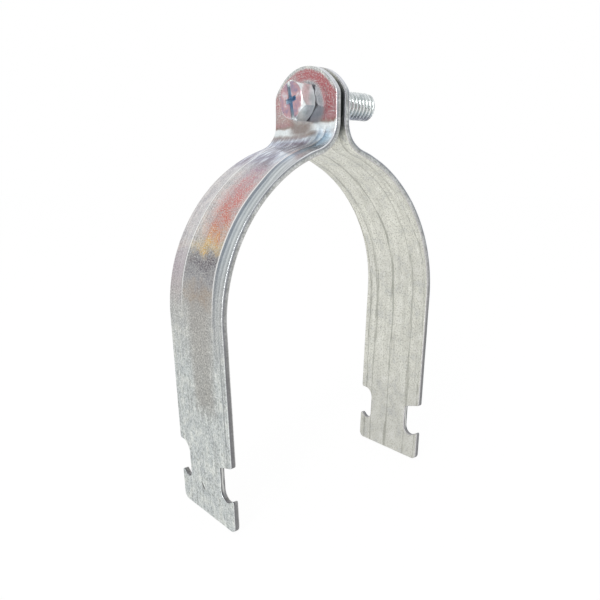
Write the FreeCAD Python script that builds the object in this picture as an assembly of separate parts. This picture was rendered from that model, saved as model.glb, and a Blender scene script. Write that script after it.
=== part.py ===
"""Strut pipe clamp: two hooked steel straps joined over the pipe by one hex-head screw.

Millimetres. X runs along the strut channel, Y along the pipe, Z up. The origin is the middle of the pipe
seat: the point midway between the centres of the two straps' arcs, halfway across the strap width.
The straps stand as the photograph shows them, drawn together until their ears almost meet.
"""

import FreeCAD
import Part
import math
import os

from FreeCAD import Vector

# Pipe and strap
PIPE_D = 101.6
SEAT_CLEARANCE = 0.6
STRAP_W = 31.75
STRAP_T = 2.0
CLOSED_BY = 7.85
EAR_GAP = 1.6

# Ear: flat, with straight sides and a round top
EAR_BEND_R = 8.8
EAR_SIDE_H = 8.95
EAR_ROUND_H = 8.55
EAR_CORNER_R = 4.0

# Leg: the shoulders stop short of the pipe's underside, the rest is measured from them along the leg
TOE_IN = 2.4
SHOULDER_LIFT = 5.8
NOTCH_H = 11.0
TAB_H = 11.3
NEAR_NOTCH_DEPTH = 7.0
FAR_NOTCH_DEPTH = 5.8
NEAR_SHOULDER_SLOPE = 2.0
HOOK_RAMP = 4.3

# Corner radii of the blank
TAB_CORNER_R = 2.2
HOOK_TIP_R = 0.5
SHOULDER_CORNER_R = 1.0
NEAR_NECK_R = 1.0
FAR_NECK_R = 3.7
NEAR_HOOK_R = 3.0
FAR_HOOK_R = 2.4

# Raised middle panel, formed into each arc
PANEL_EDGE = 3.7
PANEL_BEVEL = 3.1
PANEL_RISE = 0.45
PANEL_MID_Y = -1.5
PANEL_MID_ANGLE = 38.0
PANEL_SWEEP = 66.0

# Screw, 3/8 inch, 16 turns to the inch, 1 1/8 inches long
SCREW_D = 9.3
SCREW_LENGTH = 28.6
SCREW_PITCH = 25.4 / 16
TAPPED_CLEARANCE = 0.05
HOLE_CLEARANCE = 0.3
THREAD_CHAMFER = 1.0
HEAD_LEDGE = 1.1
HEAD_H = 5.6
HEAD_TURN = 15.0
HEAD_EDGE = 0.3
HEAD_CHAMFER_DEG = 30.0
HEAD_SEAT = 0.03
SLOT_W = 1.7
SLOT_DEPTH = 2.2
SLOT_TURN = -12.6
CROSS_W = 1.5
CROSS_SPAN = 5.6
CROSS_BOTTOM_SPAN = 2.6
CROSS_DEPTH = 3.4

SEAT_R = PIPE_D / 2 + SEAT_CLEARANCE
OUTER_R = SEAT_R + STRAP_T
HALF_W = STRAP_W / 2
EAR_X = EAR_GAP / 2
BEND_X = EAR_X + STRAP_T + EAR_BEND_R
BEND_Z = math.sqrt((OUTER_R + EAR_BEND_R) ** 2 - (BEND_X + CLOSED_BY) ** 2)
EAR_CORNER_Z = BEND_Z + EAR_SIDE_H
EAR_TOP_Z = EAR_CORNER_Z + EAR_ROUND_H
KNEE_DROP = SEAT_R * math.sin(math.radians(TOE_IN))
SHOULDER_AT = (PIPE_D / 2 - SHOULDER_LIFT - KNEE_DROP) / math.cos(math.radians(TOE_IN))
HOOK_TIP_AT = SHOULDER_AT + NOTCH_H
LEG_LENGTH = HOOK_TIP_AT + TAB_H
HEAD_FLATS = SCREW_D + 2 * HEAD_LEDGE
HEAD_CORNER_R = HEAD_FLATS / math.sqrt(3)
SCREW_Z = BEND_Z + HEAD_CORNER_R
MARGIN = 3.0
SAME_PLACE = 0.01


def rounded_wire(corners, place):
    """Closed wire through corners (u, v, radius), each rounded by its radius; place maps (u, v) to space."""
    count = len(corners)
    stops = []
    for i in range(count):
        u, v, radius = corners[i]
        before = Vector(*corners[i - 1][:2], 0) - Vector(u, v, 0)
        after = Vector(*corners[(i + 1) % count][:2], 0) - Vector(u, v, 0)
        if radius == 0:
            stops.append([Vector(u, v, 0)])
            continue
        before.normalize()
        after.normalize()
        half = before.getAngle(after) / 2
        bisector = before + after
        bisector.normalize()
        corner = Vector(u, v, 0)
        reach = radius / math.tan(half)
        middle = corner + bisector * (radius / math.sin(half) - radius)
        stops.append([corner + before * reach, middle, corner + after * reach])
    edges = []
    for i in range(count):
        here = [place(p.x, p.y) for p in stops[i]]
        following = stops[(i + 1) % count][0]
        if len(here) == 3:
            edges.append(Part.Arc(*here).toShape())
        edges.append(Part.LineSegment(here[-1], place(following.x, following.y)).toShape())
    return Part.Wire(edges)


def prism(corners, place, direction):
    return Part.Face(rounded_wire(corners, place)).extrude(direction)


def polar(centre, radius, angle):
    return Vector(centre.x + radius * math.cos(angle), 0, centre.z + radius * math.sin(angle))


def leg_frame():
    """Start of the leg on the arc's inside, its direction down and its outward normal."""
    toe = math.radians(TOE_IN)
    start = polar(Vector(-CLOSED_BY, 0, 0), SEAT_R, -toe)
    return start, Vector(-math.sin(toe), 0, -math.cos(toe)), Vector(math.cos(toe), 0, -math.sin(toe))


def strip():
    """The bent strip of the right strap at full width: ear, bend, arc and leg."""
    arc_centre = Vector(-CLOSED_BY, 0, 0)
    bend = Vector(BEND_X, 0, BEND_Z)
    toe = math.radians(TOE_IN)
    meet = math.atan2(bend.z, bend.x - arc_centre.x)
    start, down, outward = leg_frame()

    def line_of(offset):
        seat = SEAT_R + offset
        turn = EAR_BEND_R + STRAP_T - offset
        ear_x = EAR_X + offset
        top = Vector(ear_x, 0, EAR_TOP_Z)
        ear_foot = Vector(ear_x, 0, bend.z)
        bend_mid = polar(bend, turn, math.pi + meet / 2)
        bend_end = polar(bend, turn, math.pi + meet)
        arc_mid = polar(arc_centre, seat, (meet - toe) / 2)
        knee = polar(arc_centre, seat, -toe)
        foot = start + outward * offset + down * LEG_LENGTH
        return [
            Part.LineSegment(top, ear_foot).toShape(),
            Part.Arc(ear_foot, bend_mid, bend_end).toShape(),
            Part.Arc(bend_end, arc_mid, knee).toShape(),
            Part.LineSegment(knee, foot).toShape(),
        ], top, foot

    inside, inside_top, inside_foot = line_of(0)
    outside, outside_top, outside_foot = line_of(STRAP_T)
    ends = [
        Part.LineSegment(inside_foot, outside_foot).toShape(),
        Part.LineSegment(outside_top, inside_top).toShape(),
    ]
    section = Part.Face(Part.Wire(inside + [ends[0]] + outside[::-1] + [ends[1]]))
    section.translate(Vector(0, -HALF_W, 0))
    return section.extrude(Vector(0, STRAP_W, 0))


def disc(centre, radius):
    """Disc about a line along Y, as wide as the panel, with its rim bevelled at both sides."""
    near = PANEL_MID_Y - HALF_W + PANEL_EDGE
    far = PANEL_MID_Y + HALF_W - PANEL_EDGE
    outline = [
        Vector(0, near, 0),
        Vector(radius - PANEL_RISE, near, 0),
        Vector(radius, near + PANEL_BEVEL, 0),
        Vector(radius, far - PANEL_BEVEL, 0),
        Vector(radius - PANEL_RISE, far, 0),
        Vector(0, far, 0),
    ]
    solid = Part.Face(Part.makePolygon(outline + outline[:1])).revolve(Vector(0, 0, 0), Vector(0, 1, 0), 360)
    solid.translate(centre)
    return solid


def panel_sector():
    """Wedge that holds the formed panel's length of arc."""
    first = math.radians(PANEL_MID_ANGLE - PANEL_SWEEP / 2)
    last = math.radians(PANEL_MID_ANGLE + PANEL_SWEEP / 2)
    centre = Vector(-CLOSED_BY, -STRAP_W, 0)
    reach = 2 * OUTER_R
    points = [centre]
    for angle in (first, (first + last) / 2, last):
        points.append(centre + Vector(reach * math.cos(angle), 0, reach * math.sin(angle)))
    return Part.Face(Part.makePolygon(points + points[:1])).extrude(Vector(0, 2 * STRAP_W, 0))


def formed(strap):
    """Raises the middle panel: discs shifted outward along the arc's middle fade into it at both ends."""
    fade = math.cos(math.radians(PANEL_SWEEP / 2))
    shift = PANEL_RISE / (1 - fade)
    middle = math.radians(PANEL_MID_ANGLE)
    centre = Vector(-CLOSED_BY + shift * math.cos(middle), 0, shift * math.sin(middle))
    sector = panel_sector()
    raised = disc(centre, OUTER_R - shift * fade).common(sector)
    core = Part.makeCylinder(SEAT_R + STRAP_T / 2, STRAP_W, Vector(-CLOSED_BY, -HALF_W, 0), Vector(0, 1, 0))
    hollow = disc(centre, SEAT_R - shift * fade).common(sector)
    return strap.fuse(raised.cut(core)).cut(hollow)


def ear_waste():
    """What the round top takes off the ear. The top's arc runs into the straight sides by rounded corners."""
    radius = (HALF_W**2 + EAR_ROUND_H**2) / (2 * EAR_ROUND_H)
    thick = EAR_X + STRAP_T + 2 * MARGIN
    foot_z = EAR_CORNER_Z - MARGIN
    tall = EAR_TOP_Z + MARGIN - foot_z
    block = Part.makeBox(thick, STRAP_W + 2 * MARGIN, tall, Vector(-MARGIN, -HALF_W - MARGIN, foot_z))
    sides = Part.makeBox(thick, STRAP_W, tall, Vector(-MARGIN, -HALF_W, foot_z))
    top = Part.makeCylinder(radius, thick, Vector(-MARGIN, 0, EAR_TOP_Z - radius), Vector(1, 0, 0))
    kept = sides.common(top)
    corners = []
    for edge in kept.Edges:
        box = edge.BoundBox
        if abs(box.ZMin - EAR_CORNER_Z) < SAME_PLACE and abs(box.ZMax - EAR_CORNER_Z) < SAME_PLACE:
            corners.append(edge)
    return block.cut(kept.makeFillet(EAR_CORNER_R, corners))


def leg_waste():
    """What the blank's outline takes off the leg: the four notch sides and the tab's two bottom corners."""
    start, down, outward = leg_frame()
    origin = start - outward * MARGIN
    through = outward * (STRAP_T + 2 * MARGIN)
    top = SHOULDER_AT / 2
    neck_near = NEAR_NOTCH_DEPTH - HALF_W
    neck_far = HALF_W - FAR_NOTCH_DEPTH

    def place(y, s):
        return origin + down * s + Vector(0, y, 0)

    outline = [
        (-HALF_W, top, 0),
        (-HALF_W, SHOULDER_AT, SHOULDER_CORNER_R),
        (neck_near, SHOULDER_AT + NEAR_SHOULDER_SLOPE, NEAR_NECK_R),
        (neck_near, HOOK_TIP_AT + HOOK_RAMP, NEAR_HOOK_R),
        (-HALF_W, HOOK_TIP_AT, HOOK_TIP_R),
        (-HALF_W, LEG_LENGTH, TAB_CORNER_R),
        (HALF_W, LEG_LENGTH, TAB_CORNER_R),
        (HALF_W, HOOK_TIP_AT, HOOK_TIP_R),
        (neck_far, HOOK_TIP_AT + HOOK_RAMP, FAR_HOOK_R),
        (neck_far, SHOULDER_AT, FAR_NECK_R),
        (HALF_W, SHOULDER_AT, SHOULDER_CORNER_R),
        (HALF_W, top, 0),
    ]
    around = [
        (-HALF_W - MARGIN, top, 0),
        (-HALF_W - MARGIN, LEG_LENGTH + MARGIN, 0),
        (HALF_W + MARGIN, LEG_LENGTH + MARGIN, 0),
        (HALF_W + MARGIN, top, 0),
    ]
    return prism(around, place, through).cut(prism(outline, place, through))


def ear_hole(diameter):
    return Part.makeCylinder(diameter / 2, 4 * MARGIN, Vector(-2 * MARGIN, 0, SCREW_Z), Vector(1, 0, 0))


def strap(hole_d):
    solid = formed(strip())
    solid = solid.cut(ear_waste())
    solid = solid.cut(leg_waste())
    solid = solid.cut(ear_hole(hole_d))
    return solid.removeSplitter()


def strap_right():
    """Its ear is tapped: the bore stands for the thread at its running size."""
    return strap(SCREW_D + 2 * TAPPED_CLEARANCE)


def strap_left():
    """Mirror image of the right strap, with a clearance hole in its ear."""
    return strap(SCREW_D + 2 * HOLE_CLEARANCE).mirror(Vector(0, 0, 0), Vector(1, 0, 0))


def hexagon(x):
    points = []
    for i in range(6):
        angle = math.radians(60 * i + HEAD_TURN)
        y = HEAD_CORNER_R * math.cos(angle)
        points.append(Vector(x, y, SCREW_Z + HEAD_CORNER_R * math.sin(angle)))
    return Part.Face(Part.makePolygon(points + points[:1]))


def turned(shape, turn):
    shape.rotate(Vector(0, 0, SCREW_Z), Vector(1, 0, 0), turn)
    return shape


def cross_wing(face_x, turn):
    """One wing of the cross recess: long at the face, short at its floor."""
    above = 1.0
    grow = (CROSS_SPAN - CROSS_BOTTOM_SPAN) / CROSS_DEPTH * above
    corners = []
    for x, span, side in (
        (face_x - above, CROSS_SPAN + grow, -1),
        (face_x - above, CROSS_SPAN + grow, 1),
        (face_x + CROSS_DEPTH, CROSS_BOTTOM_SPAN, 1),
        (face_x + CROSS_DEPTH, CROSS_BOTTOM_SPAN, -1),
    ):
        corners.append(Vector(x, -CROSS_W / 2, SCREW_Z + side * span / 2))
    wing = Part.Face(Part.makePolygon(corners + corners[:1])).extrude(Vector(0, CROSS_W, 0))
    return turned(wing, turn)


def screw():
    """Hex head, chamfered above and below, with slot and cross recess, and a plain shank for the thread."""
    seat_x = -EAR_X - STRAP_T - HEAD_SEAT
    face_x = seat_x - HEAD_H
    head = hexagon(face_x).extrude(Vector(HEAD_H, 0, 0))
    face_r = HEAD_FLATS / 2 - HEAD_EDGE
    drop = (HEAD_CORNER_R - face_r) * math.tan(math.radians(HEAD_CHAMFER_DEG))
    axis = Vector(1, 0, 0)
    nose = Part.makeCone(face_r, HEAD_CORNER_R, drop, Vector(face_x, 0, SCREW_Z), axis)
    body = Part.makeCylinder(HEAD_CORNER_R, HEAD_H - 2 * drop, Vector(face_x + drop, 0, SCREW_Z), axis)
    base = Part.makeCone(HEAD_CORNER_R, face_r, drop, Vector(seat_x - drop, 0, SCREW_Z), axis)
    head = head.common(nose.fuse([body, base]))
    slot = Part.makeBox(
        SLOT_DEPTH + 1, SLOT_W, 2 * HEAD_FLATS, Vector(face_x - 1, -SLOT_W / 2, SCREW_Z - HEAD_FLATS)
    )
    head = head.cut(turned(slot, SLOT_TURN))
    for turn in (SLOT_TURN, SLOT_TURN + 90):
        head = head.cut(cross_wing(face_x, turn))
    radius = SCREW_D / 2
    straight = SCREW_LENGTH - THREAD_CHAMFER
    shank = Part.makeCylinder(radius, straight, Vector(seat_x, 0, SCREW_Z), axis)
    point = Part.makeCone(
        radius, radius - THREAD_CHAMFER, THREAD_CHAMFER, Vector(seat_x + straight, 0, SCREW_Z), axis
    )
    return head.fuse([shank, point]).removeSplitter()


os.makedirs("parts", exist_ok=True)
for name, make in (("strap_left", strap_left), ("strap_right", strap_right), ("screw", screw)):
    solid = make()
    assert solid.isValid() and len(solid.Solids) == 1, name
    box = solid.BoundBox
    low = [round(v, 2) for v in (box.XMin, box.YMin, box.ZMin)]
    high = [round(v, 2) for v in (box.XMax, box.YMax, box.ZMax)]
    print(name, "volume", round(solid.Volume, 1), "faces", len(solid.Faces), "from", low, "to", high)
    solid.exportStep("parts/" + name + ".step")
print("screw pitch", round(SCREW_PITCH, 4), "mm; each strap is", CLOSED_BY, "mm inside its place on the pipe")
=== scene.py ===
# %% [markdown]
# # Strut pipe clamp
# Two galvanised steel straps hook into a strut channel and close round a pipe, drawn together by one
# hexagon-head screw through their ears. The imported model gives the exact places. This notebook builds the
# pieces that show: two pressed straps with their punched edges, and a screw with a real thread.

import math

import bmesh
import bpy
import numpy as np
from mathutils import Matrix, Vector
from mathutils.geometry import delaunay_2d_cdt


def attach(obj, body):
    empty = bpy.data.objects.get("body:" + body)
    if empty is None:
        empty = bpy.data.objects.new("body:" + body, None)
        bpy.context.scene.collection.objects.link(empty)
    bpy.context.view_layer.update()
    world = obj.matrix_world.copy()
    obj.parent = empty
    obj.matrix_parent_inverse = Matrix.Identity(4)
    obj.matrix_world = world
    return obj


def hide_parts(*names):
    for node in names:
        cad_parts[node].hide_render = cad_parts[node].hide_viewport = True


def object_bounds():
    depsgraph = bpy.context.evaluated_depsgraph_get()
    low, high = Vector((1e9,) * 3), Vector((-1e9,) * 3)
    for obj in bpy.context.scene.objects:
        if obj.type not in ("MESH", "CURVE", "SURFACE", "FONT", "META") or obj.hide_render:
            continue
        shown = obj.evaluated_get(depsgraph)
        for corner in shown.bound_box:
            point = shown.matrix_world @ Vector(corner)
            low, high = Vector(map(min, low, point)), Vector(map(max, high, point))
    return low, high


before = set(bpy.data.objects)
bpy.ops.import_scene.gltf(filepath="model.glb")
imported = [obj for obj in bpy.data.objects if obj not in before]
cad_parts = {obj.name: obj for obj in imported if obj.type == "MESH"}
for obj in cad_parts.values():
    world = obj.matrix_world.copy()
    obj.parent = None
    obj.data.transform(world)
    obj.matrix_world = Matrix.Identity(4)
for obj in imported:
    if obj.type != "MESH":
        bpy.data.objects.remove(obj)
cad_low, cad_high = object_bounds()
MM = 0.001
print("CAD box in mm:", [round(v / MM, 1) for v in cad_high - cad_low])

# %% [markdown]
# ## Camera
# The photograph was taken from the front left and a little above. Its view is fixed by a direction, a
# distance and a focal length in pixels. The picture's centre is shifted slightly, because the photograph
# was cropped off centre. Distances are in millimetres, as everywhere before the studio, and MM turns them
# to Blender's metres.

# %% Camera
PICTURE = 600
VIEW_AZIMUTH = math.radians(40.74)
VIEW_ELEVATION = math.radians(12.87)
VIEW_ROLL = math.radians(0.61)
VIEW_DISTANCE = 226.86
VIEW_TARGET = Vector((6.36, -1.94, -7.40))
FOCAL_PIXELS = 635.51
CENTRE_PIXEL = (327.24, 318.30)
NEAREST_SEEN = 10


def new_object(name, data):
    """Object with this data, linked into the scene."""
    made = bpy.data.objects.new(name, data)
    bpy.context.scene.collection.objects.link(made)
    return made


sa, ca = math.sin(VIEW_AZIMUTH), math.cos(VIEW_AZIMUTH)
se, ce = math.sin(VIEW_ELEVATION), math.cos(VIEW_ELEVATION)
level_right = Vector((ca, -sa, 0))
level_up = Vector((sa * se, ca * se, ce))
back = Vector((-sa * ce, -ca * ce, se))
right = level_right * math.cos(VIEW_ROLL) + level_up * math.sin(VIEW_ROLL)
up = level_up * math.cos(VIEW_ROLL) - level_right * math.sin(VIEW_ROLL)

lens = bpy.data.cameras.new("camera")
lens.lens = FOCAL_PIXELS / PICTURE * lens.sensor_width
lens.shift_x = (PICTURE / 2 - CENTRE_PIXEL[0]) / PICTURE
lens.shift_y = (CENTRE_PIXEL[1] - PICTURE / 2) / PICTURE
lens.clip_start = NEAREST_SEEN * MM
camera = new_object("camera", lens)
turned = Matrix((right, up, back)).transposed().to_4x4()
camera.matrix_world = Matrix.Translation((VIEW_TARGET + back * VIEW_DISTANCE) * MM) @ turned
bpy.context.scene.camera = camera
print("camera at", [round(v / MM, 1) for v in camera.location], "lens", round(lens.lens, 2), "mm")

# %% [markdown]
# ## Colours and nodes
# Colours are written as hex values, as a colour picker shows them. Blender mixes light in linear values, so
# one function turns the first into the second. One more function adds a shader node, sets its settings and
# makes its links. Blender's names for shader nodes all start with ShaderNode, which the function puts in
# front. An input may be a number, a hex colour, another node or one socket of it. A Mix node of colours
# takes them at its inputs 6 and 7, one of numbers at 2 and 3, and both take the factor at 0. A Map Range
# node runs from input 1 to input 2, which it turns into 3 to 4.


# %% Colour and node helpers
def linear(code):
    """Linear colour of a hex code, opaque."""
    parts = [int(code[i : i + 2], 16) / 255 for i in (1, 3, 5)]
    return [v / 12.92 if v <= 0.04045 else ((v + 0.055) / 1.055) ** 2.4 for v in parts] + [1.0]


def add(tree, kind, inputs=None, stops=(), **settings):
    """New node with its settings and links. stops are a colour ramp's (position, grey or hex) pairs."""
    node = tree.nodes.new("ShaderNode" + kind)
    for name, value in settings.items():
        setattr(node, name, value)
    for key, value in (inputs or {}).items():
        if isinstance(value, bpy.types.Node):
            value = next(out for out in value.outputs if out.enabled)
        if isinstance(value, bpy.types.NodeSocket):
            tree.links.new(value, node.inputs[key])
        else:
            node.inputs[key].default_value = linear(value) if isinstance(value, str) else value
    for i, (position, colour) in enumerate(stops):
        elements = node.color_ramp.elements
        element = elements[i] if i < 2 else elements.new(position)
        element.position = position
        element.color = linear(colour) if isinstance(colour, str) else (colour, colour, colour, 1)
    return node


def empty_tree(owner):
    """Node tree of a new material or world, without the nodes it starts with."""
    owner.use_nodes = True
    owner.node_tree.nodes.clear()
    return owner.node_tree


def new_material(name):
    """New material and its empty node tree."""
    made = bpy.data.materials.new(name)
    return made, empty_tree(made)


print("warm grey #CDCEC6 is", [round(v, 3) for v in linear("#CDCEC6")])

# %% [markdown]
# ## The strap, as the press sees it
# On the real clamp each strap starts as a flat blank punched from 2 mm galvanised strip. A press then bends
# the ear, rolls the arc and sets the leg a little inwards. The same order works here: first the line that
# the strip follows, then the blank's outline laid out flat, and last a map that bends the flat blank. A
# point on the blank has a place u along it, from the ear's top, and a place v across it, from its middle.

# %% Sizes of the strap
SEAT_R = 51.4
STRAP_W = 31.75
STRAP_T = 2.0
CLOSED_BY = 7.85
EAR_GAP = 1.6
EAR_BEND_R = 8.8
EAR_SIDE_H = 8.95
EAR_ROUND_H = 8.55
TOE_IN = math.radians(2.4)
SHOULDER_LIFT = 5.8
PIPE_R = 50.8
NOTCH_H = 11.0
TAB_H = 11.3
NEAR_NOTCH_DEPTH = 7.0
FAR_NOTCH_DEPTH = 5.8
NEAR_SHOULDER_SLOPE = 2.0
HOOK_RAMP = 4.3

HALF_W = STRAP_W / 2
MID_T = STRAP_T / 2
EAR_MID_X = EAR_GAP / 2 + MID_T
BEND_MID_R = EAR_BEND_R + MID_T
ARC_MID_R = SEAT_R + MID_T
BEND_X = EAR_GAP / 2 + STRAP_T + EAR_BEND_R
BEND_Z = math.sqrt((ARC_MID_R + BEND_MID_R) ** 2 - (BEND_X + CLOSED_BY) ** 2)
MEET = math.atan2(BEND_Z, BEND_X + CLOSED_BY)
SHOULDER_AT = (PIPE_R - SHOULDER_LIFT - SEAT_R * math.sin(TOE_IN)) / math.cos(TOE_IN)
HOOK_TIP_AT = SHOULDER_AT + NOTCH_H
LEG_LENGTH = HOOK_TIP_AT + TAB_H
EAR_TOP_Z = BEND_Z + EAR_SIDE_H + EAR_ROUND_H
EAR_END = EAR_SIDE_H + EAR_ROUND_H
BEND_END = EAR_END + BEND_MID_R * MEET
ARC_END = BEND_END + ARC_MID_R * (MEET + TOE_IN)
BLANK_END = ARC_END + LEG_LENGTH
ARC_MIDDLE = (BEND_END + ARC_END) / 2
ends = [round(end, 1) for end in (EAR_END, BEND_END, ARC_END, BLANK_END)]
print("ear, bend, arc and leg end", ends, "mm along the blank")

# %% [markdown]
# The line of the strip is four pieces, each tangent to the next: the straight ear, the bend, the arc on the
# pipe and the straight leg. For a distance along the blank, the function gives the point on that line and
# the direction that points away from the pipe.


# %% Line of the strip
def strip_line(u):
    """Middle line of the right strap at u: points (x, z) and outward normals."""
    u = np.asarray(u, float)
    ear = (np.full_like(u, EAR_MID_X), EAR_TOP_Z - u, np.ones_like(u), np.zeros_like(u))
    turn = math.pi + np.clip((u - EAR_END) / BEND_MID_R, 0, MEET)
    cos, sin = np.cos(turn), np.sin(turn)
    bend = (BEND_X + BEND_MID_R * cos, BEND_Z + BEND_MID_R * sin, -cos, -sin)
    turn = MEET - np.clip((u - BEND_END) / ARC_MID_R, 0, MEET + TOE_IN)
    cos, sin = np.cos(turn), np.sin(turn)
    arc = (ARC_MID_R * cos - CLOSED_BY, ARC_MID_R * sin, cos, sin)
    down = np.maximum(u - ARC_END, 0)
    leg = (
        ARC_MID_R * math.cos(TOE_IN) - CLOSED_BY - down * math.sin(TOE_IN),
        -ARC_MID_R * math.sin(TOE_IN) - down * math.cos(TOE_IN),
        np.full_like(u, math.cos(TOE_IN)),
        np.full_like(u, -math.sin(TOE_IN)),
    )
    where = [u < EAR_END, u < BEND_END, u < ARC_END]
    return [np.select(where, [ear[i], bend[i], arc[i]], leg[i]) for i in range(4)]


print("foot of the strip at", [round(float(v), 2) for v in strip_line(BLANK_END)[:2]])

# %% [markdown]
# ## Outline of the blank
# The punch leaves a round-topped ear, a long strip and, at the foot, two notches and a tab whose corners
# turn up into hooks. A punch has no perfectly sharp corners, so each corner of the outline has its own
# radius. Two helpers turn a list of corners into a closed loop of points.

# %% Outline helpers
ARC_STEP = math.radians(6)
EDGE_STEP = 0.9


def corner_points(before, corner, after, radius):
    """Points of the rounded corner."""
    a = (before - corner).normalized()
    b = (after - corner).normalized()
    half = a.angle(b) / 2
    bisector = (a + b).normalized()
    centre = corner + bisector * (radius / math.sin(half))
    start = corner + a * (radius / math.tan(half)) - centre
    sweep = math.pi - 2 * half
    sign = 1 if a.x * b.y - a.y * b.x < 0 else -1
    count = max(2, math.ceil(sweep / ARC_STEP))
    out = []
    for k in range(count + 1):
        turn = sign * sweep * k / count
        out.append(centre + Vector((
            start.x * math.cos(turn) - start.y * math.sin(turn),
            start.x * math.sin(turn) + start.y * math.cos(turn),
        )))
    return out


def outline_loop(corners):
    """Closed loop of points through rounded corners, with long straight runs divided."""
    points = []
    count = len(corners)
    for i, (u, v, radius) in enumerate(corners):
        here = Vector((u, v))
        before = Vector(corners[i - 1][:2])
        after = Vector(corners[(i + 1) % count][:2])
        points += corner_points(before, here, after, radius) if radius else [here]
    loop = []
    for i, here in enumerate(points):
        after = points[(i + 1) % len(points)]
        steps = max(1, round((after - here).length / EDGE_STEP))
        loop += [here.lerp(after, k / steps) for k in range(steps)]
    return loop


square = outline_loop([(0, 0, 1), (4, 0, 1), (4, 4, 1), (0, 4, 1)])
print("a 4 mm square with round corners takes", len(square), "points")

# %% [markdown]
# The ear's round top is a flat circle, sampled between its two ends, and joins the same list of corners.
# The far and the near notch differ in depth and in the radii of their corners, as the photograph shows.

# %% Corners of the blank
EAR_CORNER_R = 4.0
TAB_CORNER_R = 2.2
HOOK_TIP_R = 0.5
SHOULDER_CORNER_R = 1.0
NEAR_NECK_R = 1.0
FAR_NECK_R = 3.7
NEAR_HOOK_R = 3.0
FAR_HOOK_R = 2.4
EAR_TOP_STEPS = 24

ear_r = (HALF_W**2 + EAR_ROUND_H**2) / (2 * EAR_ROUND_H)
ear_half = math.asin(HALF_W / ear_r)
top_angles = [ear_half * (1 - 2 * k / EAR_TOP_STEPS) for k in range(1, EAR_TOP_STEPS)]
ear_top = [(ear_r - ear_r * math.cos(t), ear_r * math.sin(t), 0) for t in top_angles]
near_neck = NEAR_NOTCH_DEPTH - HALF_W
far_neck = HALF_W - FAR_NOTCH_DEPTH
shoulder = ARC_END + SHOULDER_AT
hook_tip = ARC_END + HOOK_TIP_AT
blank_loop = outline_loop([
    (EAR_ROUND_H, -HALF_W, EAR_CORNER_R),
    (shoulder, -HALF_W, SHOULDER_CORNER_R),
    (shoulder + NEAR_SHOULDER_SLOPE, near_neck, NEAR_NECK_R),
    (hook_tip + HOOK_RAMP, near_neck, NEAR_HOOK_R),
    (hook_tip, -HALF_W, HOOK_TIP_R),
    (BLANK_END, -HALF_W, TAB_CORNER_R),
    (BLANK_END, HALF_W, TAB_CORNER_R),
    (hook_tip, HALF_W, HOOK_TIP_R),
    (hook_tip + HOOK_RAMP, far_neck, FAR_HOOK_R),
    (shoulder, far_neck, FAR_NECK_R),
    (shoulder, HALF_W, SHOULDER_CORNER_R),
    (EAR_ROUND_H, HALF_W, EAR_CORNER_R),
] + ear_top)
print("outline of the blank:", len(blank_loop), "points; shoulders at", round(shoulder, 1), "mm")

# %% [markdown]
# ## Raised panel
# A shallow panel is pressed outwards along the arc to stiffen it. Its two creases run along the strap,
# spread apart where they enter the bend under the ear, and fade out above the leg. Each spread is written
# as the place where it starts, going up the strap, the length that it takes and how far the crease moves
# towards the far side.

# %% Creases of the panel
PANEL_EDGE = 3.7
PANEL_BEVEL = 3.1
PANEL_MID_V = -1.5
NEAR_SPREADS = ((54, 16, 1.8), (32, 10, -2.6))
FAR_SPREADS = ((42, 18, 4.8),)


def eased(t):
    """0 below 0 and 1 above 1, with a smooth way between."""
    t = np.clip(t, 0, 1)
    return t * t * (3 - 2 * t)


def creases(u):
    """Where the panel's near and far creases run, across the strap, at u."""
    half = HALF_W - PANEL_EDGE - PANEL_BEVEL
    near, far = PANEL_MID_V - half, PANEL_MID_V + half
    for start, length, move in NEAR_SPREADS:
        near = near + move * eased((start - u) / length)
    for start, length, move in FAR_SPREADS:
        far = far + move * eased((start - u) / length)
    return near, far


print("creases halfway down the arc, in mm across:", [round(float(v), 1) for v in creases(ARC_MIDDLE)])

# %% [markdown]
# The press also leaves the strip very slightly uneven, which the eye sees as wandering reflections. So
# small waves are added to the faces, and finer ripples in the bend. A wave has its turns, in radians to the
# millimetre, along the strap and across it. A fade is the length over which a form comes in or dies out.
# Waves only go inwards, so that the strap keeps its size.

# %% Panel and waves
PANEL_RISE = 0.45
PANEL_TOP = 22.0
PANEL_TOP_FADE = 12
PANEL_FOOT = 95.4
PANEL_FOOT_FADE = 16
CREASE_SOFT = 0.25
WAVE = 0.02
WAVE_FADE = 6
WAVE_TURNS = ((0.31, 0.12), (-0.05, 0.37))
RIPPLE = 0.03
RIPPLE_TOP_FADE = 3
RIPPLE_FOOT = 44
RIPPLE_FOOT_FADE = 10
RIPPLE_TURNS = (0.95, 0.33)


def soft_ramp(t, soft):
    """0 below 0, 1 above 1 and straight between, with both corners rounded over soft."""
    area = [np.where(x < 0, 0, np.where(x < 1, x * x / 2, x - 0.5)) for x in (t + soft, t - soft)]
    return (area[0] - area[1]) / (2 * soft)


def rise(u, v):
    """How far the strip's middle is pressed outwards at (u, v), in mm."""
    near, far = creases(u)
    soft = CREASE_SOFT / PANEL_BEVEL
    across = soft_ramp((v - near) / PANEL_BEVEL + 1, soft) * soft_ramp((far - v) / PANEL_BEVEL + 1, soft)
    panel = PANEL_RISE * across * eased((u - PANEL_TOP) / PANEL_TOP_FADE)
    panel = panel * eased((PANEL_FOOT - u) / PANEL_FOOT_FADE)
    first, second = [np.sin(u * along + v * sideways) for along, sideways in WAVE_TURNS]
    wave = WAVE * (first * second - 1) * eased((u - EAR_END) / WAVE_FADE)
    along, sideways = RIPPLE_TURNS
    ripple = RIPPLE * (np.sin(u * along + v * sideways) - 1) * eased((u - EAR_END) / RIPPLE_TOP_FADE)
    ripple = ripple * eased((RIPPLE_FOOT - u) / RIPPLE_FOOT_FADE)
    return panel + wave + ripple


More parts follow.
